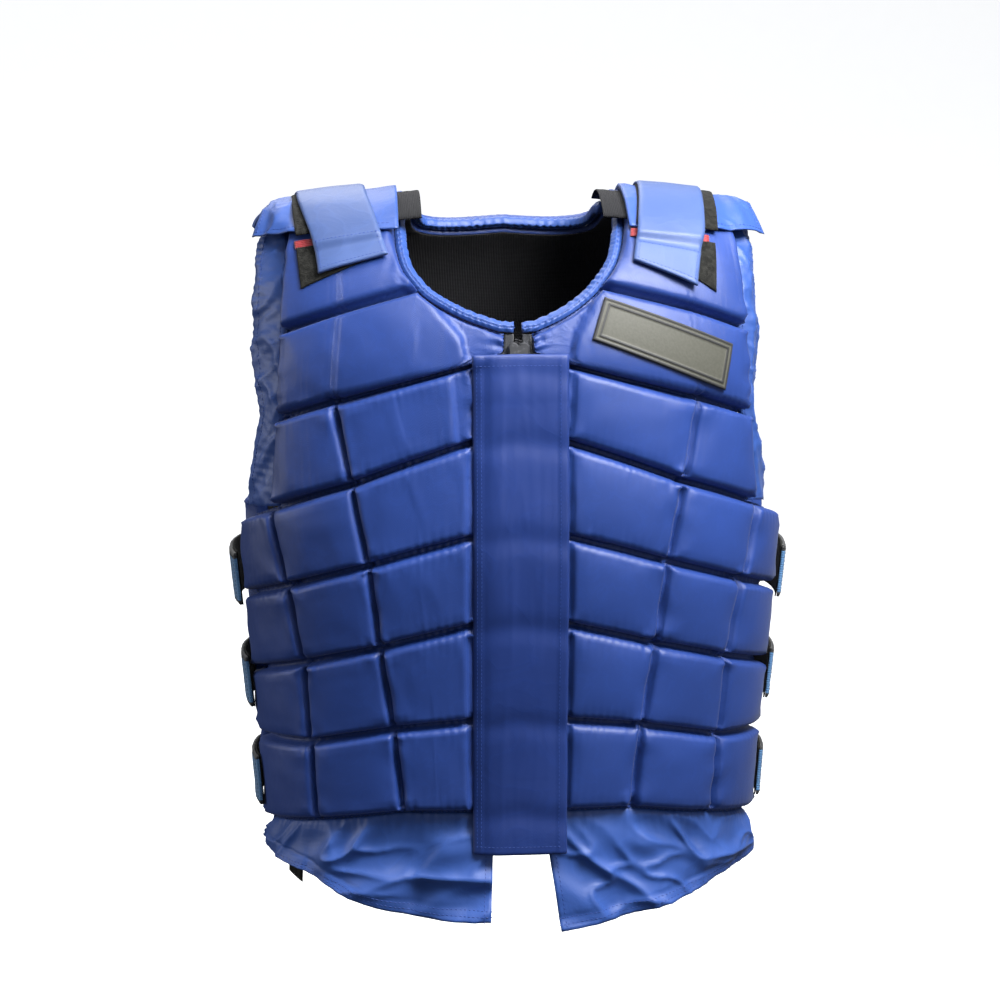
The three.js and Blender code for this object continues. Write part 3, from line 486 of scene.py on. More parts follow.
def webbing_finish(name, colour, rib=1.6, edge_dark=None, width=None):
    """Woven tape: ribs along its length, weft across, and dark edge threads if it has them."""
    finish = Finish(name, Specular_IOR_Level=0.4, Sheen_Weight=0.2)
    turns = 2 * math.pi / (rib * METRE)
    ribs = (finish.chart(1) * turns).sine() * 0.5 + 0.5
    weft = (finish.chart(0) * turns * 0.5).sine() * 0.5 + 0.5
    cloud = finish.noise(25, 4)
    tone = finish.blend(cloud.between(0.3, 0.7), shade(colour, 0.88), shade(colour, 1.12))
    tone = finish.blend((1 - ribs) * 0.3, tone, shade(colour, 0.6))
    if edge_dark:
        inside = finish.chart(1).between(edge_dark * METRE, (edge_dark + 0.6) * METRE)
        other = 1 - finish.chart(1).between((width - edge_dark - 0.6) * METRE, (width - edge_dark) * METRE)
        tone = finish.blend(inside * other, BLACK_CLOTH, tone)
    return finish.finish(tone, cloud * 0.15 + 0.5, ribs * 0.7 + weft * 0.3, 0.35)


def pile_finish(name, colour):
    """Touch tape: short matted loops."""
    finish = Finish(name, Specular_IOR_Level=0.12, Sheen_Weight=0.04)
    loops = finish.node("ShaderNodeTexVoronoi", inputs={"Vector": finish.place(), "Scale": 900})
    tufts = finish.noise(260, 4)
    tone = finish.blend(tufts.between(0.35, 0.7), shade(colour, 0.6), shade(colour, 1.7))
    return finish.finish(tone, tufts * 0.1 + 0.85, loops * 0.6 + tufts, 0.7)


def mesh_lining_finish(name):
    """Black spacer mesh: round holes in staggered rows, lint on the threads."""
    finish = Finish(name, Specular_IOR_Level=0.12, Sheen_Weight=0.04)
    pitch = 2 * math.pi / (2.6 * METRE)
    across, along = finish.chart(0) * pitch, finish.chart(1) * pitch
    holes = ((across + along).sine() * (across - along).sine()) * 0.5 + 0.5
    lint = finish.noise(150, 4)
    tone = finish.blend(holes.between(0.45, 0.75), shade(BLACK_CLOTH, 2.2), shade(BLACK_CLOTH, 0.3))
    tone = finish.blend(lint.between(0.62, 0.75) * 0.15, tone, (0.04, 0.04, 0.045, 1))
    return finish.finish(tone, lint * 0.2 + 0.75, 1 - holes, 0.5)


# Sewing thread lies in rows of separate stitches.
STITCH_PITCH = 3.6
STITCH_LENGTH = 2.6
STITCH_WIDTH = 0.7


class GrowthTree:
    """A Geometry Nodes tree with named sizes, ending in real mesh with its own material."""

    def __init__(self, name, sizes):
        self.tree = bpy.data.node_groups.new(name, "GeometryNodeTree")
        sockets = self.tree.interface
        self.path = sockets.new_socket("Path", in_out="INPUT", socket_type="NodeSocketGeometry")
        self.sizes = {
            size: sockets.new_socket(size, in_out="INPUT", socket_type="NodeSocketFloat") for size in sizes
        }
        self.finish = sockets.new_socket("Finish", in_out="INPUT", socket_type="NodeSocketMaterial")
        sockets.new_socket("Made", in_out="OUTPUT", socket_type="NodeSocketGeometry")
        self.given = self.tree.nodes.new("NodeGroupInput")

    def node(self, kind, settings=None, inputs=None, output=0):
        made = self.tree.nodes.new(kind)
        for key, value in (settings or {}).items():
            setattr(made, key, value)
        for key, value in (inputs or {}).items():
            if isinstance(value, bpy.types.NodeSocket):
                self.tree.links.new(value, made.inputs[key])
            else:
                made.inputs[key].default_value = value
        return made.outputs[output]

    def end(self, instances):
        real = self.node("GeometryNodeRealizeInstances", inputs={0: instances})
        finish = self.given.outputs["Finish"]
        made = self.node("GeometryNodeSetMaterial", inputs={0: real, "Material": finish})
        out = self.tree.nodes.new("NodeGroupOutput")
        self.tree.links.new(made, out.inputs[0])
        return self

    def grow(self, name, lines, finish, **sizes):
        """Runs the tree over open lines of points, in millimetres, and keeps the plain mesh."""
        points, edges = [], []
        for line in lines:
            first = len(points)
            points.extend((np.asarray(line) * METRE).tolist())
            edges.extend((k, k + 1) for k in range(first, len(points) - 1))
        path = bpy.data.meshes.new(name)
        path.from_pydata(points, edges, [])
        source = bpy.data.objects.new(name, path)
        bpy.context.scene.collection.objects.link(source)
        modifier = source.modifiers.new("grow", "NODES")
        modifier.node_group = self.tree
        for size, value in sizes.items():
            modifier[self.sizes[size].identifier] = value * METRE
        modifier[self.finish.identifier] = finish
        source.update_tag()
        evaluated = source.evaluated_get(bpy.context.evaluated_depsgraph_get())
        mesh = bpy.data.meshes.new_from_object(evaluated)
        mesh.name = name
        piece = bpy.data.objects.new(name, mesh)
        bpy.data.objects.remove(source)
        bpy.context.scene.collection.objects.link(piece)
        return piece


def stitch_tree():
    tree = GrowthTree("stitch row", ("Pitch", "Length", "Width"))
    given = tree.given.outputs
    curve = tree.node("GeometryNodeMeshToCurve", inputs={0: given["Path"]})
    along = {"Curve": curve, "Length": given["Pitch"]}
    spots = tree.node("GeometryNodeResampleCurve", {"mode": "LENGTH"}, along)
    bead = tree.node("GeometryNodeMeshUVSphere", inputs={"Segments": 6, "Rings": 4, "Radius": 0.5})
    tangent = tree.node("GeometryNodeInputTangent")
    turn = tree.node("FunctionNodeAlignRotationToVector", {"axis": "X"}, {"Vector": tangent})
    size = tree.node(
        "ShaderNodeCombineXYZ", inputs={"X": given["Length"], "Y": given["Width"], "Z": given["Width"]}
    )
    row = {"Points": spots, "Instance": bead, "Rotation": turn, "Scale": size}
    return tree.end(tree.node("GeometryNodeInstanceOnPoints", inputs=row))


def thread_finish(name, colour):
    finish = Finish(name, Specular_IOR_Level=0.4)
    twist = finish.noise(1500, 2)
    tone = finish.blend(twist, shade(colour, 0.7), shade(colour, 1.2))
    return finish.finish(tone, twist * 0.2 + 0.45)


STITCHES = stitch_tree()
NYLON = nylon_finish("quilted nylon", NYLON_BLUE, calm=0.06)
# Its lighter blue is painted light on the cover's own nylon.
CRUMPLED_NYLON = nylon_finish("crumpled nylon", LOOSE_BLUE_PAINTED_LIGHTER, 0.25, 22)
FLAP_NYLON = nylon_finish("flap nylon", FLAP_BLUE, 0.3, 24, 0.5)
LINING_MESH = mesh_lining_finish("lining mesh")
TOUCH_TAPE = pile_finish("touch tape", (0.009, 0.009, 0.008, 1))
RED_TAPE = webbing_finish("red tape", (0.2, 0.005, 0.01, 1))
SHOULDER_WEBBING = nylon_finish("shoulder webbing", STRAP_BLUE, 0.35, 26, 0.6)
SIDE_WEBBING = webbing_finish("side webbing", SIDE_BLUE, 1.8, 3, SIDE_STRAP_HEIGHT)
BLUE_THREAD = thread_finish("blue thread", shade(NYLON_BLUE, 1.25))
BLACK_THREAD = thread_finish("black thread", shade(BLACK_CLOTH, 2))


def sew(name, lines, thread, slot, pitch=STITCH_PITCH, length=STITCH_LENGTH, width=STITCH_WIDTH):
    """Sews rows of stitches along lines of points."""
    sewn = STITCHES.grow(name, lines, thread, Pitch=pitch, Length=length, Width=width)
    return dress(sewn, None, slot)


# A pad's outline: steps away from a seam, and the step over its face and along a seam.
SEAM_STEPS = (0, 0.9, 1.8, 2.9, 4.2, 5.8, 7.8)
PAD_STEP = 6
GATHER_STEP = 2.4
SEAM_FLAT = 2
EDGE_POWER = 2.6
SEAM_EDGE = 6
UPRIGHT_FLAT = 1.8
UPRIGHT_EDGE = 4.5
CENTRE_STRIP = {"right": (7.5, 15.5), "left": (7.5, 7.5)}

# The yoke pad's inner edge runs from the neckline's corner down to the centre strip: angle, level share.
YOKE_PAD_EDGE = ((9.4, 0.0735), (8.4, 0.043))
YOKE_EDGE_DEPTH = 6.5
PAD_CROWN = 1.2


def pad_shares(length, step, fine_start, fine_end):
    """Shares across a pad up to its far side: close beside seams, even over its face."""
    near = np.array([value for value in SEAM_STEPS if value < 0.42 * length])
    start = near if fine_start else near[:1]
    end = length - (near if fine_end else near[:1])[::-1]
    count = max(2, math.ceil((end[0] - start[-1]) / step) + 1)
    return np.concatenate([start, np.linspace(start[-1], end[0], count)[1:-1], end[:-1]]) / length


def seam_stations(seam):
    middle = tuple(np.mean([seam.centre, seam.first], axis=0))
    stations = np.array([seam.centre, seam.neck or middle, seam.first, seam.second, seam.side], float)
    return stations * (1, BODY_LENGTH)


def neck_curve(seams):
    """Marks and stations of the smooth neckline: 0 at the middle, 1 at its corner, then each seam up."""
    stations = [seam_stations(seam) for seam in seams if seam.neck]
    posts = [stations[0][0], *(station[NECK_LINE] for station in stations)]
    keys = list(range(len(posts)))
    if seams[0].centre[0] == 0:
        mirrored = [post * (-1, 1) for post in posts[:0:-1]]
        return np.array([-key for key in keys[:0:-1]] + keys, float), np.array(mirrored + posts)
    sag = mix(posts[0], posts[1], NECK_SAG_SHARE) - (0, NECK_SAG)
    keys.insert(1, NECK_SAG_SHARE)
    return np.array(keys, float), np.array([posts[0], sag, *posts[1:]])


def between_lines(lines, marks):
    """Rows of stations at marks, where 2.25 is a quarter of the way from line 2 to line 3."""
    low = np.minimum(np.asarray(marks).astype(int), len(lines) - 2)
    share = (np.asarray(marks) - low).reshape((-1,) + (1,) * (lines.ndim - 1))
    return mix(lines[low], lines[low + 1], share)


class Quilt:
    """The quilted face of one panel, on a grid that is fine beside its seams."""

    def __init__(self, seams, is_whole, turn, centre_strip=(0, 0)):
        self.seams = seams
        self.is_whole = is_whole
        self.centre_strip = centre_strip
        lines = np.stack([seam_stations(seam) for seam in seams])
        posts = over(lines[..., 0], lines[..., 1], PAD_FACE)
        heights = np.linalg.norm(np.diff(posts[:, FIRST_LINE], axis=0), axis=-1)
        widths = np.linalg.norm(np.diff(posts[:-1], axis=1), axis=-1).max(axis=0)
        self.row_marks = self.marks(heights, PAD_STEP, [not seam.plain for seam in seams])
        half_marks = self.marks(widths, GATHER_STEP, [True] * 5)
        self.columns = np.concatenate([-half_marks[:0:-1], half_marks]) if is_whole else half_marks
        rows = between_lines(lines, self.row_marks)
        placed = between_lines(rows.transpose(1, 0, 2), np.abs(self.columns)).transpose(1, 0, 2)
        placed = placed + self.neck_bend(lines)
        self.angle = turn(np.where(self.columns < 0, -1, 1) * placed[..., 0])
        self.level = placed[..., 1]
        self.from_middle = placed[..., 0]
        self.zones = np.array([seams[int(mark)].zone for mark in self.row_marks])
        cells = np.minimum(np.abs(self.columns[:-1]), np.abs(self.columns[1:])).astype(int)[None, :]
        zones = self.zones[:-1, None]
        beside_arm = (cells >= SECOND_LINE) & (zones != "trunk")
        in_neck = (cells < NECK_LINE) & (zones == "shoulder")
        self.keep = ~beside_arm & ~in_neck
        self.face = over(self.angle, self.level, PAD_FACE)
        self.along, self.up = run_lengths(self.face, 1), run_lengths(self.face, 0)

    def neck_bend(self, lines):
        """Shift of each station that bends the neckline's corners into one smooth curve."""
        first = next(n for n, seam in enumerate(self.seams) if seam.neck)
        last = len(self.seams) - 1 - first
        keys, stations = neck_curve(self.seams)
        column, row = np.abs(self.columns)[None, :], self.row_marks[:, None]
        under = np.clip(column, 0, 1) + 0 * row
        beside = 1 + np.clip(row - first, 0, last) + 0 * column
        at = np.where(row <= first, under, beside)
        straight = np.concatenate([lines[first, :1], lines[first:, NECK_LINE]])
        smooth = [smooth_curve(keys, stations[:, k], at) for k in (0, 1)]
        plain = [np.interp(at, np.arange(last + 2), straight[:, k]) for k in (0, 1)]
        shift = np.stack(smooth, -1) - np.stack(plain, -1)
        below = np.clip(row - first + 1, 0, 1) ** 2 * (column <= 1)
        outward = np.clip(2 - column, 0, 1) * (column >= 1)
        return shift * np.where(row <= first, below, outward)[..., None]

    @staticmethod
    def marks(lengths, step, is_fine):
        spans = [
            line + pad_shares(length, step, is_fine[line], is_fine[line + 1])
            for line, length in enumerate(lengths)
        ]
        return np.concatenate([*spans, [len(lengths)]])

    def column_of(self, line):
        return int(np.argmin(np.abs(self.columns - line)))

    def row_of(self, line):
        return int(np.argmin(np.abs(self.row_marks - line)))

    def upright_seams(self):
        """Each upright seam's line, the zones where it shows, its depth and its flat half width."""
        rim = (RIM_DEPTH, 0.3)
        seam = (UPRIGHT_DEPTH, UPRIGHT_FLAT)
        uprights = [
            (FIRST_LINE, ("trunk", "armhole"), *seam),
            (SECOND_LINE, ("trunk",), *seam),
            (SECOND_LINE, ("armhole", "yoke", "shoulder", "end"), *rim),
            (SIDE_LINE, ("trunk",), *rim),
            (NECK_LINE, ("shoulder", "end"), *rim),
        ]
        if self.is_whole:
            return uprights + [(-line, *rest) for line, *rest in uprights]
        beside_trunk, beside_yoke = self.centre_strip
        return uprights + [
            (0, ("trunk",), CENTRE_RIM_DEPTH, beside_trunk),
            (0, ("armhole", "yoke"), CENTRE_RIM_DEPTH, beside_yoke),
        ]

    def level_seams(self):
        last = len(self.seams) - 1
        for line, seam in enumerate(self.seams):
            if not seam.plain:
                inside = TRUNK_SEAM_DEPTH if seam.zone == "trunk" else SEAM_DEPTH
                yield line, RIM_DEPTH if line in (0, last) else inside

    def gaps(self):
        """Distance of every point to the nearest upright and the nearest level seam."""
        upright = np.full(self.level.shape, 99.0)
        for line, zones, *_ in self.upright_seams():
            run = np.abs(self.along - self.along[:, [self.column_of(line)]])
            upright = np.where(np.isin(self.zones, zones)[:, None], np.minimum(upright, run), upright)
        level = np.full(self.level.shape, 99.0)
        for line, _ in self.level_seams():
            level = np.minimum(level, np.abs(self.up - self.up[[self.row_of(line)]]))
        return upright, level

    def drops(self):
        """Depth of the foam's rounded edges under its face, from upright and from level seams."""
        upright = np.zeros(self.level.shape)
        for line, zones, depth, flat in self.upright_seams():
            run = np.abs(self.along - self.along[:, [self.column_of(line)]])
            drop = rounded_drop(run - flat, depth, UPRIGHT_EDGE)
            upright = np.where(np.isin(self.zones, zones)[:, None], np.maximum(upright, drop), upright)
        if not self.is_whole:
            inside = np.where((self.zones == "yoke")[:, None], self.yoke_gap(), 99.0)
            upright = np.maximum(upright, rounded_drop(inside, YOKE_EDGE_DEPTH, UPRIGHT_EDGE))
        level = np.zeros(self.level.shape)
        for line, depth in self.level_seams():
            climb = np.abs(self.up - self.up[[self.row_of(line)]])
            level = np.maximum(level, rounded_drop(climb - SEAM_FLAT, depth, SEAM_EDGE))
        return upright, level

    def yoke_gap(self):
        """Distance of every point inside the yoke pad's inner edge, less than nothing outside it."""
        corner = next(seam.neck for seam in self.seams if seam.neck)
        edge = np.array([corner, *YOKE_PAD_EDGE], float) * (1, BODY_LENGTH)
        posts = np.abs(over(edge[:, 0], edge[:, 1], PAD_FACE))[:, [0]]
        posts = np.concatenate([posts, edge[:, 1:]], 1)
        place = np.stack([np.abs(self.face[..., 0]), self.level], -1)
        gaps = []
        for start, end in zip(posts, posts[1:]):
            run = unit(end - start)
            away = place - start
            gaps.append(run[0] * away[..., 1] - run[1] * away[..., 0])
        return np.minimum(*gaps)

    def cover(self, seed):
        """The sewn cover over the foam: its lift, and how much each point is seam or pad edge, weights that
        paint shade and highlights.
        """
        upright_drop, level_drop = self.drops()
        upright_gap, level_gap = self.gaps()
        drop = (upright_drop**4 + level_drop**4) ** 0.25
        drop = np.minimum(drop, np.maximum(upright_drop, level_drop) + 1)
        crown = PAD_CROWN * np.clip(np.minimum(upright_gap, level_gap) / 22, 0, 1) ** 0.7
        along, up = self.face[..., 0], self.level
        wander = value_noise(along / 24, up / 24, seed)
        gathers = np.sin(2 * math.pi * self.along / 6.1 + 2.5 * wander) * np.exp(-level_gap / 5)
        gathers += np.sin(2 * math.pi * self.up / 6.4 + 3 * wander) * np.exp(-upright_gap / 6) * 3.2
        gathers *= 0.4 * (1 + value_noise(along / 17, up / 17, seed + 1))
        crossing = np.exp(-(upright_gap**2 + level_gap**2) / 110)
        pucker = crossing * 2.2 * value_noise(along / 4.2, up / 4.2, seed + 2)
        softness = 0.45 * value_noise(along / 42, up / 42, seed + 3)
        softness += 0.16 * value_noise(along / 13, up / 13, seed + 4)
        lift = PAD_FACE + crown - drop + gathers + pucker + softness
        # edge paints a highlight on the pads' rounded edges and gather crests; seam paints shade in the
        # grooves.
        edge = np.clip(np.sin(np.clip(drop / SEAM_DEPTH * 1.6, 0, 1) * math.pi), 0, 1)
        return lift, {"seam": drop / SEAM_DEPTH, "edge": edge * np.clip(0.7 + gathers, 0, 1)}

    def seam_rows(self, outer):
        """Lines of points along every sewn seam of the cover."""
        for line, _ in self.level_seams():
            row = self.row_of(line)
            kept = np.pad(self.keep[min(row, len(self.keep) - 1)] | self.keep[max(row - 1, 0)], (0, 1))
            yield from kept_runs(outer[row], kept)
        for line, zones, *_ in self.upright_seams():
            yield from kept_runs(outer[:, self.column_of(line)], np.isin(self.zones, zones))


def rounded_drop(distance, depth, width):
    """Fall of a foam block's rounded edge at a distance inside its foot."""
    share = np.clip(distance / width, 0, 1)
    return depth * (1 - (1 - (1 - share) ** EDGE_POWER) ** (1 / EDGE_POWER))


def kept_runs(points, kept):
    """The unbroken stretches of a line of points that are kept."""
    bounds = np.flatnonzero(np.diff(np.pad(kept.astype(int), 1)))
    return [points[start:end] for start, end in zip(bounds[::2], bounds[1::2]) if end - start > 2]


# Cloth run of a cover: frames, share cut over size, pressure, and the most that it may move a point
# out, in and sideways, in millimetres.
CLOTH_FRAMES = 16
CLOTH_GROWTH = 0.004
CLOTH_PRESSURE = 2.0
CLOTH_RISE = 1.1
CLOTH_SINK = 0.5
CLOTH_SLIP = 1.2


def evened(values, reach=3):
    """Running mean of a grid's rows over the points within reach."""
    wide = np.pad(values, ((0, 0), (reach, reach), (0, 0)), "edge")
    return sum(wide[:, start:start + values.shape[1]] for start in range(2 * reach + 1)) / (2 * reach + 1)


def settle_cover(quilt, outer, sewn):
    """Cloth run of a cover cut a little large for its foam and held where sewn is 1: its points after it."""
    sheet = cloth_piece("cover cloth", [outer], quilt.keep)
    number = np.arange(sewn.size).reshape(sewn.shape)
    corners = [number[:-1, :-1], number[:-1, 1:], number[1:, 1:], number[1:, :-1]]
    used = np.unique(np.stack([corner[quilt.keep] for corner in corners]))
    seam_group = sheet.vertex_groups.new(name="sewn")
    for vertex, weight in enumerate(sewn.ravel()[used].tolist()):
        seam_group.add([vertex], weight, "REPLACE")
    cloth = sheet.modifiers.new("cloth", "CLOTH")
    cloth.settings.quality = 3
    cloth.settings.mass = 0.12
    cloth.settings.air_damping = 3
    cloth.settings.tension_stiffness = 20
    cloth.settings.compression_stiffness = 20
    cloth.settings.shear_stiffness = 8
    cloth.settings.bending_stiffness = 0.3
    cloth.settings.use_pressure = True
    cloth.settings.uniform_pressure_force = CLOTH_PRESSURE
    cloth.settings.shrink_min = -CLOTH_GROWTH
    cloth.settings.vertex_group_mass = seam_group.name
    cloth.settings.effector_weights.gravity = 0
    cloth.collision_settings.use_collision = False
    cloth.point_cache.frame_end = CLOTH_FRAMES
    scene = bpy.context.scene
    for step in range(1, CLOTH_FRAMES + 1):
        scene.frame_set(step)
    settled = sheet.evaluated_get(bpy.context.evaluated_depsgraph_get()).to_mesh()
    points = np.empty(3 * len(settled.vertices))
    settled.vertices.foreach_get("co", points)
    scene.frame_set(1)
    bpy.data.objects.remove(sheet)
    move = np.zeros_like(outer)
    move.reshape(-1, 3)[used] = points.reshape(-1, 3) / METRE - outer.reshape(-1, 3)[used]
    move = evened(move)
    normal = body_normal(quilt.angle, quilt.level)
    rise = (move * normal).sum(-1, keepdims=True)
    slip = move - rise * normal
    reach = np.linalg.norm(slip, axis=-1, keepdims=True)
    slip = slip * np.minimum(1, CLOTH_SLIP / np.maximum(reach, 1e-9))
    return outer + slip + normal * np.clip(rise, -CLOTH_SINK, CLOTH_RISE)


def make_panel(name, seams, is_whole, turn, seed, centre_strip=(0, 0)):
    quilt = Quilt(seams, is_whole, turn, centre_strip)
    lift, facts = quilt.cover(seed)
    outer = over(quilt.angle, quilt.level, lift)
    under_strap = np.isin(quilt.zones, ("shoulder", "end"))[:, None]
    outer = settle_cover(quilt, outer, np.where(under_strap, 1, np.clip(facts["seam"] * 2.2, 0, 1)))
    inner = over(quilt.angle, quilt.level, PAD_BACK)
    panel = cloth_piece(f"{name}_cover", [outer, inner], quilt.keep, facts)
    dress(panel, NYLON, "nylon", f"{name}_panel")
    sew(f"{name}_seam_stitches", list(quilt.seam_rows(outer)), BLUE_THREAD, "nylon")


def right_half(angle):
    return -angle


def left_half(angle):
    return angle


def back_half(angle):
    return 180 - angle


make_panel("front_right", FRONT_SEAMS["right"], False, right_half, 11, CENTRE_STRIP["right"])
make_panel("front_left", FRONT_SEAMS["left"], False, left_half, 23, CENTRE_STRIP["left"])
make_panel("back", BACK_SEAMS, True, back_half, 37)


def even_stations(stations, step):
    """Stations set evenly along a line over the body, with their distance from its start."""
    stations = np.asarray(stations, float)
    fine = between_lines(stations, np.linspace(0, len(stations) - 1, 60 * len(stations)))
    run = run_lengths(over(fine[:, 0], fine[:, 1], PAD_FACE)[:, None], 0)[:, 0]
    even = np.linspace(0, run[-1], round(run[-1] / step) + 1)
    placed = [np.interp(even, run, fine[:, k]) for k in (0, 1)]
    return placed[0][:, None], placed[1][:, None], even[:, None]


def lens(share, thickness, power=4):
    """Thickness across a soft edge: full in the middle and closing at both sides."""
    return thickness * np.sqrt(np.maximum(1 - np.abs(2 * share - 1) ** power, 0.02))


def gathers(run, share, pitch, seed):
    """Ripples of gathered cloth along a run, wandering across it."""
    wander = value_noise(run / 19, share * 2.5, seed)
    swell = 0.75 + 0.5 * value_noise(run / 11, share * 1.5, seed + 1)
    return np.sin(2 * math.pi * (run / pitch + 0.8 * wander)) * swell


SEAM_CLEARANCE = 0.6
BAND_CLEARANCE = 0.9
GATHER_PITCH = 7.2


def make_armhole_band(name, seams, edge, turn_out, turn, seed):
    """Gathered nylon band, elastic inside, sewn to a panel's armhole edge."""
    line = np.stack([seam_stations(seam)[SECOND_LINE] for seam in seams[4:]])
    line[0, 1] += SEAM_CLEARANCE
    angle, level, run = even_stations(line, 1.8)
    share = columns_of(17)
    levels, angles = np.array(edge).T
    out_angle = smooth_curve(levels, angles, level / BODY_LENGTH)
    droop = (levels[0] * BODY_LENGTH - level[0]) * np.exp(-run / 7)
    point, normal = body_point(turn(angle), level), body_normal(turn(angle), level)
    out = body_point(turn(out_angle), level + droop)
    out_normal = body_normal(turn(out_angle), level + droop)
    start = point + unit(out - point) * BAND_CLEARANCE
    place = mix(start, out, share[..., None])
    aim = unit(mix(normal, out_normal, share[..., None]))
    crest = smooth_curve((0, 0.5, 1), (0, BAND_CREST, turn_out), share)
    ripple = gathers(run, share, GATHER_PITCH, seed) * (0.25 + 0.3 * share)
    ripple = ripple * (0.6 + 0.6 * value_noise(run / 26, share * 2, seed + 3))
    crumple = creases(run / 34 + 0.5 * share, share * 1.4, seed + 5) * 4 - 2
    crumple = crumple + creases(run / 14, share * 2.2, seed + 6) * 0.9 - 0.45
    thick = lens(share, BAND_THICKNESS)
    face = PAD_FACE - RIM_DEPTH + crest + ripple + crumple - 0.25 * (BAND_THICKNESS - thick)
    outer = place + aim * face[..., None]
    inner = place + aim * (face - thick)[..., None]
    # seam paints shade along the band's sewn edge beside the pads; edge paints highlights on the crumple
    # crests.
    facts = {"seam": np.broadcast_to(np.exp(-share * 9), face.shape), "edge": np.clip(crumple * 0.4, 0, 1)}
    band = cloth_piece(f"{name}_armhole_edge", [outer, inner], None, facts)
    dress(band, CRUMPLED_NYLON, "nylon", f"{name}_armhole_band")
    sew(f"{name}_armhole_stitches", [outer[:, 2], outer[:, 12]], BLUE_THREAD, "nylon", 3)


def neck_stations(seams):
    keys, stations = neck_curve(seams)
    marks = np.linspace(0, keys[-1], 60)
    line = np.stack([smooth_curve(keys, stations[:, k], marks) for k in (0, 1)], -1)
    line[0, 0] = min(line[0, 0], NECK_MEETING)
    return line


def make_neck_binding(name, stations, turn, toward_neck, seed):
    """Rolled, gathered binding on the neck's side of a panel edge."""
    angle, level, run = even_stations(stations, 1.6)
    point, normal = body_point(turn(angle), level), body_normal(turn(angle), level)
    side = unit(np.cross(np.gradient(point[:, 0], axis=0)[:, None], normal)) * toward_neck
    share = columns_of(13)
    ripple = gathers(run, share, 5.2, seed) * 0.7 * (1 + 0.6 * value_noise(run / 13, share, seed + 2))
    crest = smooth_curve((0, 0.5, 1), (0.75, 1, 0.5), share)
    groove = 1.1 * np.exp(-((share - 0.42) / 0.07) ** 2)
    base = PAD_FACE - RIM_DEPTH - BINDING_THICKNESS
    top = base + BINDING_THICKNESS * crest + ripple - groove
    reach = SEAM_CLEARANCE + share * (BINDING_WIDTH + 0.4 * gathers(run, share * 0, 9, seed + 3))
    place = point + side * reach[..., None]
    outer = place + normal * top[..., None]
    inner = place + normal * (top - lens(share, BINDING_THICKNESS, 3))[..., None]
    # seam paints shade in the stitched groove; edge paints highlights on the ripple crests.
    facts = {"seam": np.broadcast_to(groove, top.shape), "edge": np.clip(ripple, 0, 1)}
    binding = cloth_piece(f"{name}_neck_roll", [outer, inner], None, facts)
    dress(binding, CRUMPLED_NYLON, "nylon", f"{name}_neck_binding")
    sew(f"{name}_neck_stitches", [outer[:, 5] + normal[:, 0] * 0.3], BLUE_THREAD, "nylon", 2.8, 2)


def foot_level(seams, angle):
    lowest = seam_stations(seams[0])[[0, FIRST_LINE, SECOND_LINE, SIDE_LINE]]
    return np.interp(angle, lowest[:, 0], lowest[:, 1])


HEM_HEIGHT = 9
SKIRT_THICKNESS = 1.6


def make_skirt(name, seams, hem, start, end, turn, seed):
    """Loose cloth tail under the quilt. start and end hold an edge's angle at its top and its hem."""
    down = rows_of(40)
    top_angle, hem_angle = (mix(start[k], end[k], columns_of(118)) for k in (0, 1))
    angle = mix(top_angle, hem_angle, down)
    hem_angles, hem_levels = np.array(hem).T
    bottom = smooth_curve(hem_angles, hem_levels, np.abs(hem_angle)) * BODY_LENGTH
    level = mix(foot_level(seams, np.abs(top_angle)) - SEAM_CLEARANCE, bottom, down)
    folds = sum(
        share * np.sin(2 * waves * np.radians(angle) + phase) for waves, phase, share in SKIRT_FOLDS
    )
    free = np.sin(down * math.pi / 2)
    run, drop = angle * 3.2, level
    crumple = creases(run / 58 + drop / 70, drop / 42, seed) * 9
    crumple = crumple + 2.6 * value_noise(run / 36, drop / 26, seed + 7)
    crumple = crumple + 0.25 * value_noise(run / 12, drop / 14, seed + 8)
    tucks = gathers(run, down, 8, seed + 9) * 0.8 * np.exp(-down * 9)
    hem_line = level[-1] - level
    roll = 0.5 * (np.abs(hem_line) < HEM_HEIGHT) - 0.7 * np.exp(-((np.abs(hem_line) - HEM_HEIGHT) / 1.6) ** 2)
    ripple = gathers(run, down, 14, seed + 13) * 0.3 * np.exp(-np.abs(hem_line) / 12)
    lift = PAD_FACE - RIM_DEPTH - 1 + SKIRT_FLARE * down**0.6 + SKIRT_FOLD_DEPTH * folds * free
    lift = lift + (crumple - 3) * np.minimum(1, 0.3 + 2 * down) + tucks + roll + ripple
    outer = over(turn(angle), level, lift)
    inner = over(turn(angle), level, lift - SKIRT_THICKNESS)
    # seam paints shade at the skirt's top, under the pads' overhang; edge paints highlights on the crumple
    # crests.
    facts = {"seam": np.exp(-down * 12) + 0 * angle, "edge": np.clip(crumple / 4 - 0.4, 0, 1)}
    skirt = cloth_piece(f"{name}_tail", [outer, inner], None, facts)
    declare_sheet(outer)
    dress(skirt, CRUMPLED_NYLON, "nylon", f"{name}_skirt")
    rows = [outer[k] for k in (-3, -5)]
    sides = [outer[:, k] for k in (2, -3)]
    sew(f"{name}_hem_stitches", rows + sides, BLUE_THREAD, "nylon", 3.4, 2.4)


WING_FRONT = (0.213, 0.25)
WING_BACK = 0.4
WING_ANGLES = (22.5, 74)
WING_LINING_LEVELS = (0.236, 0.4)
WING_LINING_ANGLES = (17, 23.2)


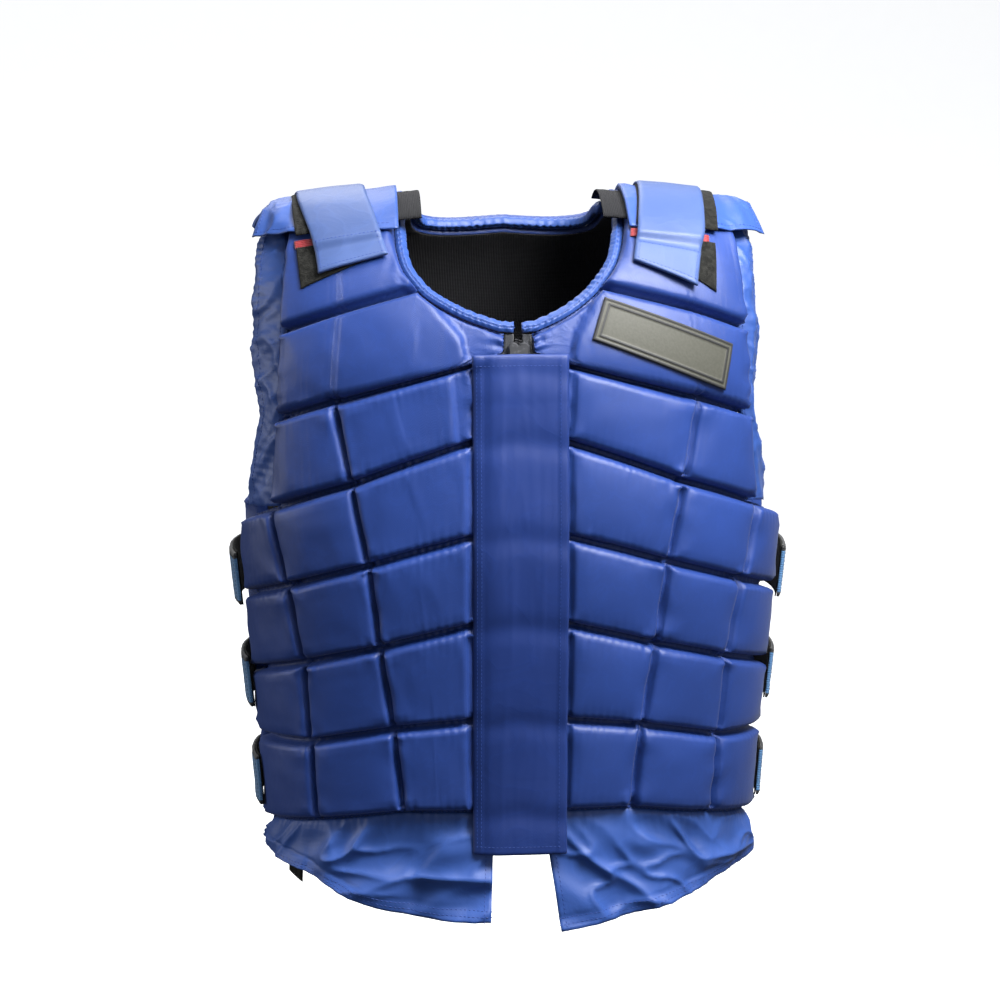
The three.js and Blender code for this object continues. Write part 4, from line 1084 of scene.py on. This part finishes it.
def make_wing(label, turn, seed):
    """Crumpled end of the back panel, folded forward over the front shoulder."""
    forward, out = rows_of(64), columns_of(60)
    front = mix(*WING_FRONT, out**2)
    level = mix(WING_BACK, front, forward) * BODY_LENGTH
    angle = mix(*WING_ANGLES, out) + 0 * forward
    curl = np.maximum(0, out - 0.7) / 0.3
    run, along = angle * 2.8, level
    under_strap = np.exp(-(((angle - 36) / 13) ** 4))
    crumple = creases(run / 44, along / 34, seed) * 3.4 + 1.6 * value_noise(run / 17, along / 24, seed + 5)
    crumple = (crumple - 1.6) * (1 - 0.85 * under_strap)
    front_roll = 0.9 * np.exp(-((1 - forward) * 9) ** 2)
    lift = WING_BASE - WING_CURL * curl**2 + WING_THICKNESS * (1 - 0.3 * curl) + crumple - front_roll
    thick = (WING_THICKNESS * 0.8) * np.sqrt(np.clip((1 - forward) * 14, 0.15, 1))
    outer = over(turn(angle), level, lift)
    inner = over(turn(angle), level, np.maximum(lift - thick, PAD_FACE - WING_CURL * curl**2 + 0.3))
    # edge paints highlights on the crumple crests.
    facts = {"seam": 0 * angle, "edge": np.clip(crumple * 0.5, 0, 1)}
    wing = cloth_piece(f"shoulder_{label}_wing", [outer, inner], None, facts)
    dress(wing, CRUMPLED_NYLON, "nylon", f"shoulder_wing_{label}")
    sew(f"wing_{label}_stitches", [outer[-4, 3:-3], outer[4:-4, -4]], BLUE_THREAD, "nylon", 3.2)
    make_strip(f"wing_{label}_mesh", WING_LINING_LEVELS, WING_LINING_ANGLES, PAD_FACE - LINING_THICKNESS,
               LINING_THICKNESS, turn, LINING_MESH, "lining", f"wing_lining_{label}")


def make_strip(name, levels, angles, base, thickness, turn, finish, slot, *nodes):
    """Flat cloth or tape between two level shares and two angles, with softly rounded edges."""
    level, angle = rows_of(34, *levels) * BODY_LENGTH, columns_of(34, *angles)
    angle, level = np.broadcast_arrays(turn(angle), level)
    return finish_strip(name, angle, level, base, thickness, finish, slot, *nodes)


def finish_strip(name, angle, level, base, thickness, finish, slot, *nodes):
    round_off = np.minimum.outer(edge_round(len(angle)), edge_round(angle.shape[1]))
    wave = 0.12 * thickness * value_noise(angle * 0.9, level / 9, len(name))
    outer = over(angle, level, base + thickness * round_off + wave)
    inner = over(angle, level, base + 0 * angle + 0 * level)
    facts = {"seam": 0 * angle + 0 * level, "edge": 0 * angle + 0 * level}
    strip = cloth_piece(name, [outer, inner], None, facts)
    return dress(strip, finish, slot, *nodes), outer


def edge_round(count, share=0.35):
    """1 over a strip and less at its two outermost lines."""
    height = np.ones(count)
    height[[0, -1]] = 1 - share
    height[[1, -2]] = 1 - share * 0.2
    return height


def strap_angle(share, level_share):
    inner = smooth_curve(STRAP_LEVELS, STRAP_INNER, level_share)
    return mix(inner, smooth_curve(STRAP_LEVELS, STRAP_OUTER, level_share), share)


STRAP_TIP_LIFT = 2.2
BAR_TACK = (0.005, 0.035)


def top_lean(label, level_share):
    """How far a strap leans outward at its top, in degrees."""
    return STRAP_TOP_LEAN[label] * np.clip((level_share - 0.16) / 0.12, 0, 1)


def edge_shift(label, level_share, share):
    """How far a strap's outer edge stands out at its top and in at its tip, in degrees."""
    at_top = np.clip((level_share - 0.2) / 0.1, 0, 1)
    at_tip = np.clip(1 - (level_share - STRAP_END[label]) / 0.06, 0, 1)
    return share * (STRAP_TOP_SPREAD[label] * at_top - STRAP_TIP_INSET[label] * at_tip)


def make_shoulder_strap(label, lean, turn):
    """Webbing strap over the wing, its stitched end on the touch tape of the front."""
    level_share = rows_of(150, STRAP_END[label], 0.392)
    share = columns_of(34)
    past_end = level_share - STRAP_END[label]
    tip = np.exp(-past_end / 0.012)
    slant = STRAP_END_SLANT[label] * (share - 0.45) * np.clip(1 - past_end / 0.05, 0, 1)
    rise = np.clip((level_share - STRAP_TURN[0]) / (STRAP_TURN[1] - STRAP_TURN[0]), 0, 1)
    rise = rise * rise * (3 - 2 * rise)
    on_patch, on_wing = PATCH_LIFT + TAPE_THICKNESS + 0.4, WING_FACE + TAPE_THICKNESS + 0.6
    level = (level_share - slant) * BODY_LENGTH
    angle = strap_angle(share, level_share) + lean + top_lean(label, level_share)
    angle = turn(angle + edge_shift(label, level_share, share))
    sag = 0.35 * value_noise(share * 2.5, level_share * 45, 71)
    base = mix(on_patch, on_wing, rise) + STRAP_TIP_LIFT * tip * np.clip(share * 1.5, 0.2, 1) + sag
    rounding = np.minimum.outer(edge_round(150), edge_round(34))
    doubled = 0.5 / (1 + np.exp((past_end - BAR_TACK[1]) / 0.0008))
    outer = over(angle, level, base + STRAP_THICKNESS * rounding - 0.5 + doubled)
    inner = over(angle, level, base)
    facts = {"seam": 0 * angle, "edge": 1.6 * doubled + 0 * angle}
    strap = cloth_piece(f"shoulder_{label}_webbing", [outer, inner], None, facts)
    declare_sheet(outer)
    dress(strap, SHOULDER_WEBBING, "shoulder_webbing", f"shoulder_strap_{label}")
    low, high = (int(np.argmin(np.abs(past_end[:, 0] - at))) for at in BAR_TACK)
    box = [outer[low, 2:-2], outer[high, 2:-2], outer[low:high, 2], outer[low:high, -3]]
    sew(f"shoulder_{label}_box_stitches", box, BLUE_THREAD, "shoulder_webbing", 2.8, 2.1, 0.55)


# Tapes under a strap: level shares and how far each reaches out beside the strap, in tenths of it.
WING_TAPE = ((0.216, 0.376), 2.6)
PATCH_LIFT = PAD_FACE + 1.6
FRONT_PATCH = ((0.156, 0.2), 1.5)
RED_STRIP = ((0.199, 0.212), 2)


def make_strap_tapes(label, lean, turn):
    """Touch tape on the wing and on the front pad, and the red tape between them."""
    tapes = (
        ("wing", WING_TAPE, WING_TAPE_SHIFT, 0, WING_FACE + 0.3, TOUCH_TAPE, "shoulder_tape"),
        ("front", FRONT_PATCH, PATCH_SHIFT, PATCH_SLANT[label], PATCH_LIFT, TOUCH_TAPE, "front_loop_patch"),
        ("red", RED_STRIP, RED_SHIFT, 0, PATCH_LIFT - 0.4, RED_TAPE, "red_tape"),
    )
    for name, (levels, overhang), shift, foot_slant, base, finish, node in tapes:
        level_share, share = rows_of(60, *levels), columns_of(40)
        middle = strap_angle(0.5, level_share)
        angle = mix(middle, strap_angle(share, level_share), 1 + overhang / 10) + lean + shift[label]
        angle = angle + top_lean(label, level_share)
        slant = foot_slant * (share - 0.5) * (levels[1] - level_share) / (levels[1] - levels[0])
        level = (level_share - slant) * BODY_LENGTH
        slot = "red_tape" if finish == RED_TAPE else "touch_tape"
        place = turn(angle), level
        finish_strip(f"{name}_{label}_tape", *place, base, TAPE_THICKNESS, finish, slot, f"{node}_{label}")


def make_side_strap(label, number, share, turn):
    """Elastic side strap with black edges, boxed with stitches at both ends, on its hook layer."""
    middle, half = share * BODY_LENGTH, SIDE_STRAP_HEIGHT / 2
    base = PAD_FACE + PAD_CROWN + 0.3
    name = f"side_strap_{label}_{number}"
    reach = np.array(SIDE_STRAP_ENDS, float)
    hook = reach.mean() + (reach - reach.mean()) * 0.95
    climb = rows_of(20, -half * 1.04, half * 1.04)
    angle, level = np.broadcast_arrays(turn(columns_of(60, *hook)), middle + climb)
    finish_strip(f"{name}_hooks", angle, level, base, TAPE_THICKNESS, TOUCH_TAPE, "touch_tape",
                 f"side_strap_hook_{label}_{number}")
    climb = rows_of(26, -half, half)
    angle, level = np.broadcast_arrays(turn(columns_of(100, *reach)), middle + climb)
    strap, outer = finish_strip(f"{name}_webbing", angle, level, base + TAPE_THICKNESS + 0.3,
                                SIDE_STRAP_THICKNESS, SIDE_WEBBING, "side_webbing", name)
    declare_sheet(outer)
    ends = [outer[2:-2, k] for k in (3, 16, -4, -17)]
    bars = [outer[k, low:high] for k in (2, -3) for low, high in ((3, 17), (-17, -3))]
    sew(f"{name}_box_stitches", ends + bars, BLACK_THREAD, "side_webbing", 3, 2.2, 0.6)


FLAP_THICKNESS = 2.2
FLAP_SEAT = PAD_FACE - CENTRE_RIM_DEPTH + 0.3


def angle_across(x, level):
    """Angle at which the pads' face lies at a distance from the middle."""
    low, high = np.full(np.broadcast(x, level).shape, -40.0), np.full(np.broadcast(x, level).shape, 40.0)
    for _ in range(24):
        middle = (low + high) / 2
        is_short = over(middle, level, PAD_FACE)[..., 0] < x
        low, high = np.where(is_short, middle, low), np.where(is_short, high, middle)
    return (low + high) / 2


def make_flap():
    """Cover flap over the zip, sewn down on the right panel's centre strip, with turned edges."""
    level = rows_of(230, *FLAP_LEVELS) * BODY_LENGTH
    x = columns_of(46, *FLAP_EDGES)
    angle = angle_across(x, level)
    share = (x - FLAP_EDGES[0]) / (FLAP_EDGES[1] - FLAP_EDGES[0])
    rise = np.sin(np.minimum(1, share * 3.4) * math.pi / 2)
    head = 1 / (1 + np.exp((FLAP_LEVELS[1] * BODY_LENGTH - 8 - level) / 2))
    rise = np.maximum(rise, head)
    seam_levels = [seam.centre[1] * BODY_LENGTH - 0.16 * np.abs(x) for seam in FRONT_SEAMS["right"][:6]]
    sunk = sum(np.exp(-((level - line) / 9) ** 2) for line in seam_levels)
    creased = 0.5 * creases(x / 11, level / 140, 91) + 0.7 * value_noise(x / 26, level / 60, 92)
    hemmed = 0.45 * (np.minimum(share, 1 - share) * 70 < 7)
    lift = mix(FLAP_SEAT, PAD_FACE + PAD_CROWN + 0.3, rise) + FLAP_THICKNESS
    lift = lift + creased - 0.5 - 1.3 * sunk * rise * (1 - head) + hemmed
    lift = lift * np.ones_like(angle)
    lift[[0, -1]] -= 0.8
    lift[:, [0, -1]] -= 0.8
    outer = over(angle, level, lift)
    inner = over(angle, level, lift - FLAP_THICKNESS + 0.4)
    # edge paints a highlight along the flap's top edge.
    facts = {"seam": 0 * angle, "edge": np.exp(-np.abs(level - level[-1]) / 2.5) + 0 * angle}
    flap = cloth_piece("zip_flap", [outer, inner], None, facts)
    declare_sheet(outer)
    dress(flap, FLAP_NYLON, "flap_nylon", "zip_cover_flap")
    rows = [outer[4:-4, k] for k in (2, 4, -5)] + [outer[k, 2:-4] for k in (4, -5)]
    sew("flap_stitches", rows, BLUE_THREAD, "flap_nylon", 3, 2.2, 0.5)


def make_zip():
    """Zip tapes and interlocked coil teeth; the two-lobed slider and its pull are imported parts."""
    marks = np.linspace(0, 7, 160)
    centre = between_lines(np.stack([seam_stations(seam)[0] for seam in FRONT_SEAMS["right"]]), marks)
    for label, turn in (("right", right_half), ("left", left_half)):
        level = centre[:, 1:2]
        inner_angle, outer_angle = angle_across(3.3, level), centre[:, :1] - 0.25
        angle = mix(inner_angle, outer_angle, columns_of(12))
        finish_strip(f"zip_cloth_{label}", turn(angle), level + 0 * angle, ZIP_TAPE_LIFT, ZIP_TAPE_THICKNESS,
                     ZIP_CLOTH, "zip_tape", f"zip_tape_{label}")
    level = np.linspace(*ZIP_LEVELS, 400)[:, None] * BODY_LENGTH
    rows = [over(angle_across(x, level), level, ZIP_TAPE_LIFT + 2)[:, 0] for x in (-1.4, 1.4)]
    staggered = [row - [0, 0, 0.9 * n] for n, row in enumerate(rows)]
    teeth = STITCHES.grow("zip_coil", staggered, ZIP_COIL, Pitch=1.9, Length=1.3, Width=3.3)
    dress(teeth, None, "zip_coil", "zip_teeth")


LABEL_FRAME = (0.07, 0.11)


def make_label():
    """Bare moulded rubber patch: grained field inside a raised double frame."""
    up, out = rows_of(50), columns_of(110)
    top, bottom = np.array(LABEL_TOP), np.array(LABEL_BOTTOM)
    angle = mix(mix(bottom[0, 0], bottom[1, 0], out), mix(top[0, 0], top[1, 0], out), up)
    level = mix(mix(bottom[0, 1], bottom[1, 1], out), mix(top[0, 1], top[1, 1], out), up) * BODY_LENGTH
    face = over(angle, level, PATCH_BASE)
    along, climb = run_lengths(face, 1), run_lengths(face, 0)
    inset = np.minimum(np.minimum(along, along[:, -1:] - along), np.minimum(climb, climb[-1:] - climb))
    rims = np.exp(-((inset - 1.1) / 1.1) ** 4) + np.exp(-((inset - 4.6) / 1.0) ** 4)
    edge = -0.9 * np.exp(-inset / 0.5)
    outer = over(angle, level, PATCH_BASE + PATCH_THICKNESS + 0.7 * rims + edge)
    inner = over(angle, level, PATCH_BASE)
    facts = {"seam": rims, "edge": np.exp(-inset / 1.2)}
    label = cloth_piece("bare_rubber_label", [outer, inner], None, facts)
    dress(label, LABEL_RUBBER, "label_rubber", "label_patch")


# Tab at the right hem: its angle, width and length, and its slant in millimetres a degree.
TAB_ANGLE, TAB_WIDTH, TAB_LENGTH, TAB_SLANT = 65, 13, 22, 0.7


def make_hem_tab():
    hem_angles, hem_levels = np.array(RIGHT_HEM).T
    hem = float(smooth_curve(hem_angles, hem_levels, TAB_ANGLE)) * BODY_LENGTH
    level = hem - TAB_LENGTH * (0.52 - rows_of(30))
    angle = columns_of(20, TAB_ANGLE - 0.3 * TAB_WIDTH, TAB_ANGLE + 0.3 * TAB_WIDTH)
    level = level + TAB_SLANT * (angle - TAB_ANGLE)
    base = PAD_FACE - RIM_DEPTH - 1 + SKIRT_FLARE - 7
    finish_strip("hem_loop_tab", -angle + 0 * level, level + 0 * angle, base, TAPE_THICKNESS, TOUCH_TAPE,
                 "touch_tape", "hem_tab")


def make_lining(name, seams, is_whole, turn):
    """Mesh lining behind a panel, drawn in a little where the seams go through."""
    quilt = Quilt(seams, is_whole, turn)
    upright, level = quilt.gaps()
    drawn = np.exp(-np.minimum(upright, level) / 5)
    outer = over(quilt.angle, quilt.level, LINING_THICKNESS)
    inner = over(quilt.angle, quilt.level, 0.9 * drawn)
    facts = {"seam": drawn, "edge": 0 * drawn}
    lining = cloth_piece(f"{name}_mesh_lining", [outer, inner], quilt.keep, facts)
    declare_sheet(outer, quilt.keep)
    dress(lining, LINING_MESH, "lining", f"{name}_lining")


def label_finish():
    finish = Finish("label rubber", Specular_IOR_Level=0.25)
    grain = finish.noise(500, 4)
    frame_line = finish.fact("seam")
    tone = finish.blend(grain.between(0.3, 0.7), (0.05, 0.05, 0.04, 1), (0.058, 0.058, 0.047, 1))
    tone = finish.blend(frame_line.between(0.3, 0.6), tone, (0.02, 0.02, 0.02, 1))
    tone = finish.blend(finish.fact("edge").between(0.25, 0.6), tone, (0.03, 0.03, 0.03, 1))
    return finish.finish(tone, grain * 0.1 + 0.5, grain, 0.06)


def enamel_finish(name, colour, roughness):
    finish = Finish(name, Metallic=0.4, Specular_IOR_Level=0.5)
    scuff = finish.noise(400, 4)
    tone = finish.blend(scuff.between(0.55, 0.75), colour, shade(colour, 2.2))
    return finish.finish(tone, scuff * 0.2 + roughness, scuff, 0.1)


ZIP_CLOTH = webbing_finish("zip cloth", (0.014, 0.016, 0.022, 1), 0.9)
ZIP_COIL = enamel_finish("zip coil", (0.03, 0.03, 0.034, 1), 0.35)
ZIP_ENAMEL = enamel_finish("zip enamel", (0.035, 0.036, 0.04, 1), 0.3)
LABEL_RUBBER = label_finish()

for side, turn, lean in (("right", right_half, 1), ("left", left_half, -1)):
    def back_turn(angle, turn=turn):
        return 180 - turn(angle)

    seams, band_edge = FRONT_SEAMS[side], FRONT_BAND_EDGE[side]
    make_lining(f"front_{side}", seams, False, turn)
    make_armhole_band(f"front_{side}", seams, band_edge, BAND_TURN_OUT[side], turn, 41 + 10 * lean)
    back_edge = BACK_BAND_EDGE, BAND_TURN_OUT["back"]
    make_armhole_band(f"back_{side}", BACK_SEAMS, *back_edge, back_turn, 61 + 10 * lean)
    make_neck_binding(f"front_{side}", neck_stations(seams), turn, lean, 81 + lean)
    make_wing(side, turn, 101 + 10 * lean)
    make_strap_tapes(side, lean, turn)
    make_shoulder_strap(side, lean, turn)
    for number, share in enumerate(SIDE_STRAP_LEVELS, 1):
        make_side_strap(side, number, share, turn)

make_lining("back", BACK_SEAMS, True, back_half)
half_neck = neck_stations(BACK_SEAMS)
make_neck_binding("back", np.concatenate([half_neck[:0:-1] * (-1, 1), half_neck]), back_half, 1, 131)
make_skirt("front_right", FRONT_SEAMS["right"], RIGHT_HEM, (4, 4.8), (84, 86), right_half, 141)
make_skirt("front_left", FRONT_SEAMS["left"], LEFT_HEM, (4.2, 7.6), (84, 86), left_half, 151)
make_skirt("back", BACK_SEAMS, BACK_HEM, (-83, -85), (83, 85), back_half, 161)
make_flap()
make_zip()
make_label()
make_hem_tab()
for part in ("zip_slider", "zip_pull"):
    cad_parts[part].data.materials.clear()
    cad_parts[part].data.materials.append(ZIP_ENAMEL)

# Camera at the photograph's place: distance, height and side of its view, and its long lens.
CAMERA_DISTANCE = 2300
CAMERA_AZIMUTH = math.radians(-4)
CAMERA_ELEVATION = math.radians(11)
CAMERA_TARGET = Vector((0, 0, -213)) * METRE
CAMERA_LENS = 108.9
CAMERA_SHIFT = -0.008


def aim(thing, place, target):
    thing.location = place
    thing.rotation_euler = (target - place).to_track_quat("-Z", "Y").to_euler()


def add_camera():
    camera = bpy.data.objects.new("camera", bpy.data.cameras.new("camera"))
    camera.data.lens = CAMERA_LENS
    camera.data.sensor_width = 36
    camera.data.shift_x = CAMERA_SHIFT
    level = math.cos(CAMERA_ELEVATION)
    away = Vector(
        (math.sin(CAMERA_AZIMUTH) * level, -math.cos(CAMERA_AZIMUTH) * level, math.sin(CAMERA_ELEVATION))
    )
    aim(camera, CAMERA_TARGET + away * CAMERA_DISTANCE * METRE, CAMERA_TARGET)
    bpy.context.scene.collection.objects.link(camera)
    bpy.context.scene.camera = camera


# Studio: place, size and power of each soft light, in metres and watts.
LIGHTS = (
    ("key", (0.5, -0.66, 0.66), 0.45, 38),
    ("top", (0.1, -0.5, 1.2), 0.7, 22),
    ("front", (1.2, -2.4, 0.6), 1.2, 7),
    ("fill", (-2.4, 0.1, 0.1), 1.0, 24),
    ("rim", (-0.3, 1.6, 1.5), 1.4, 30),
)
SKY_SIDE = (0.5, -0.25, 0.8)
SKY_GLOW = (-0.5, 1, 0.05, 0.6)
PAPER_GLOW = 0.5
FLOOR_LEVEL = -0.78
SWEEP_RADIUS = 1.2
SWEEP_BACK = 2.6


def add_studio():
    for name, place, size, power in LIGHTS:
        light = bpy.data.lights.new(name, "AREA")
        light.size = size
        light.energy = power
        lamp = bpy.data.objects.new(name, light)
        aim(lamp, Vector(place), CAMERA_TARGET)
        bpy.context.scene.collection.objects.link(lamp)
    world = bpy.data.worlds.new("studio air")
    world.use_nodes = True
    tree = world.node_tree
    ray = tree.nodes.new("ShaderNodeTexCoord")
    toward = tree.nodes.new("ShaderNodeVectorMath")
    toward.operation = "DOT_PRODUCT"
    toward.inputs[1].default_value = Vector(SKY_SIDE).normalized()
    glow = tree.nodes.new("ShaderNodeMapRange")
    for socket, value in zip(("From Min", "From Max", "To Min", "To Max"), SKY_GLOW):
        glow.inputs[socket].default_value = value
    tree.links.new(ray.outputs["Generated"], toward.inputs[0])
    tree.links.new(toward.outputs["Value"], glow.inputs["Value"])
    tree.links.new(glow.outputs["Result"], tree.nodes["Background"].inputs["Strength"])
    tree.nodes["Background"].inputs["Color"].default_value = (0.9, 0.94, 1, 1)
    bpy.context.scene.world = world
    bpy.context.scene.view_settings.view_transform = "Standard"
    rows = [(-9, FLOOR_LEVEL)]
    for turn in np.radians(np.linspace(0, 90, 13)):
        rise = SWEEP_RADIUS * (1 - math.cos(turn))
        rows.append((SWEEP_BACK + SWEEP_RADIUS * math.sin(turn), FLOOR_LEVEL + rise))
    rows.append((SWEEP_BACK + SWEEP_RADIUS, 6))
    sweep = np.array([[(x, y, z) for x in (-9, 9)] for y, z in rows]) / METRE
    floor = cloth_piece("floor_sweep", [sweep])
    floor.visible_diffuse = False
    floor.visible_glossy = False
    paper = Finish("pale paper", Roughness=0.8, Emission_Color=(1, 1, 1, 1), Emission_Strength=PAPER_GLOW)
    tone = paper.blend(paper.noise(40, 3), (0.83, 0.83, 0.83, 1), (0.87, 0.87, 0.87, 1))
    floor.data.materials.append(paper.finish(tone))


add_camera()
add_studio()
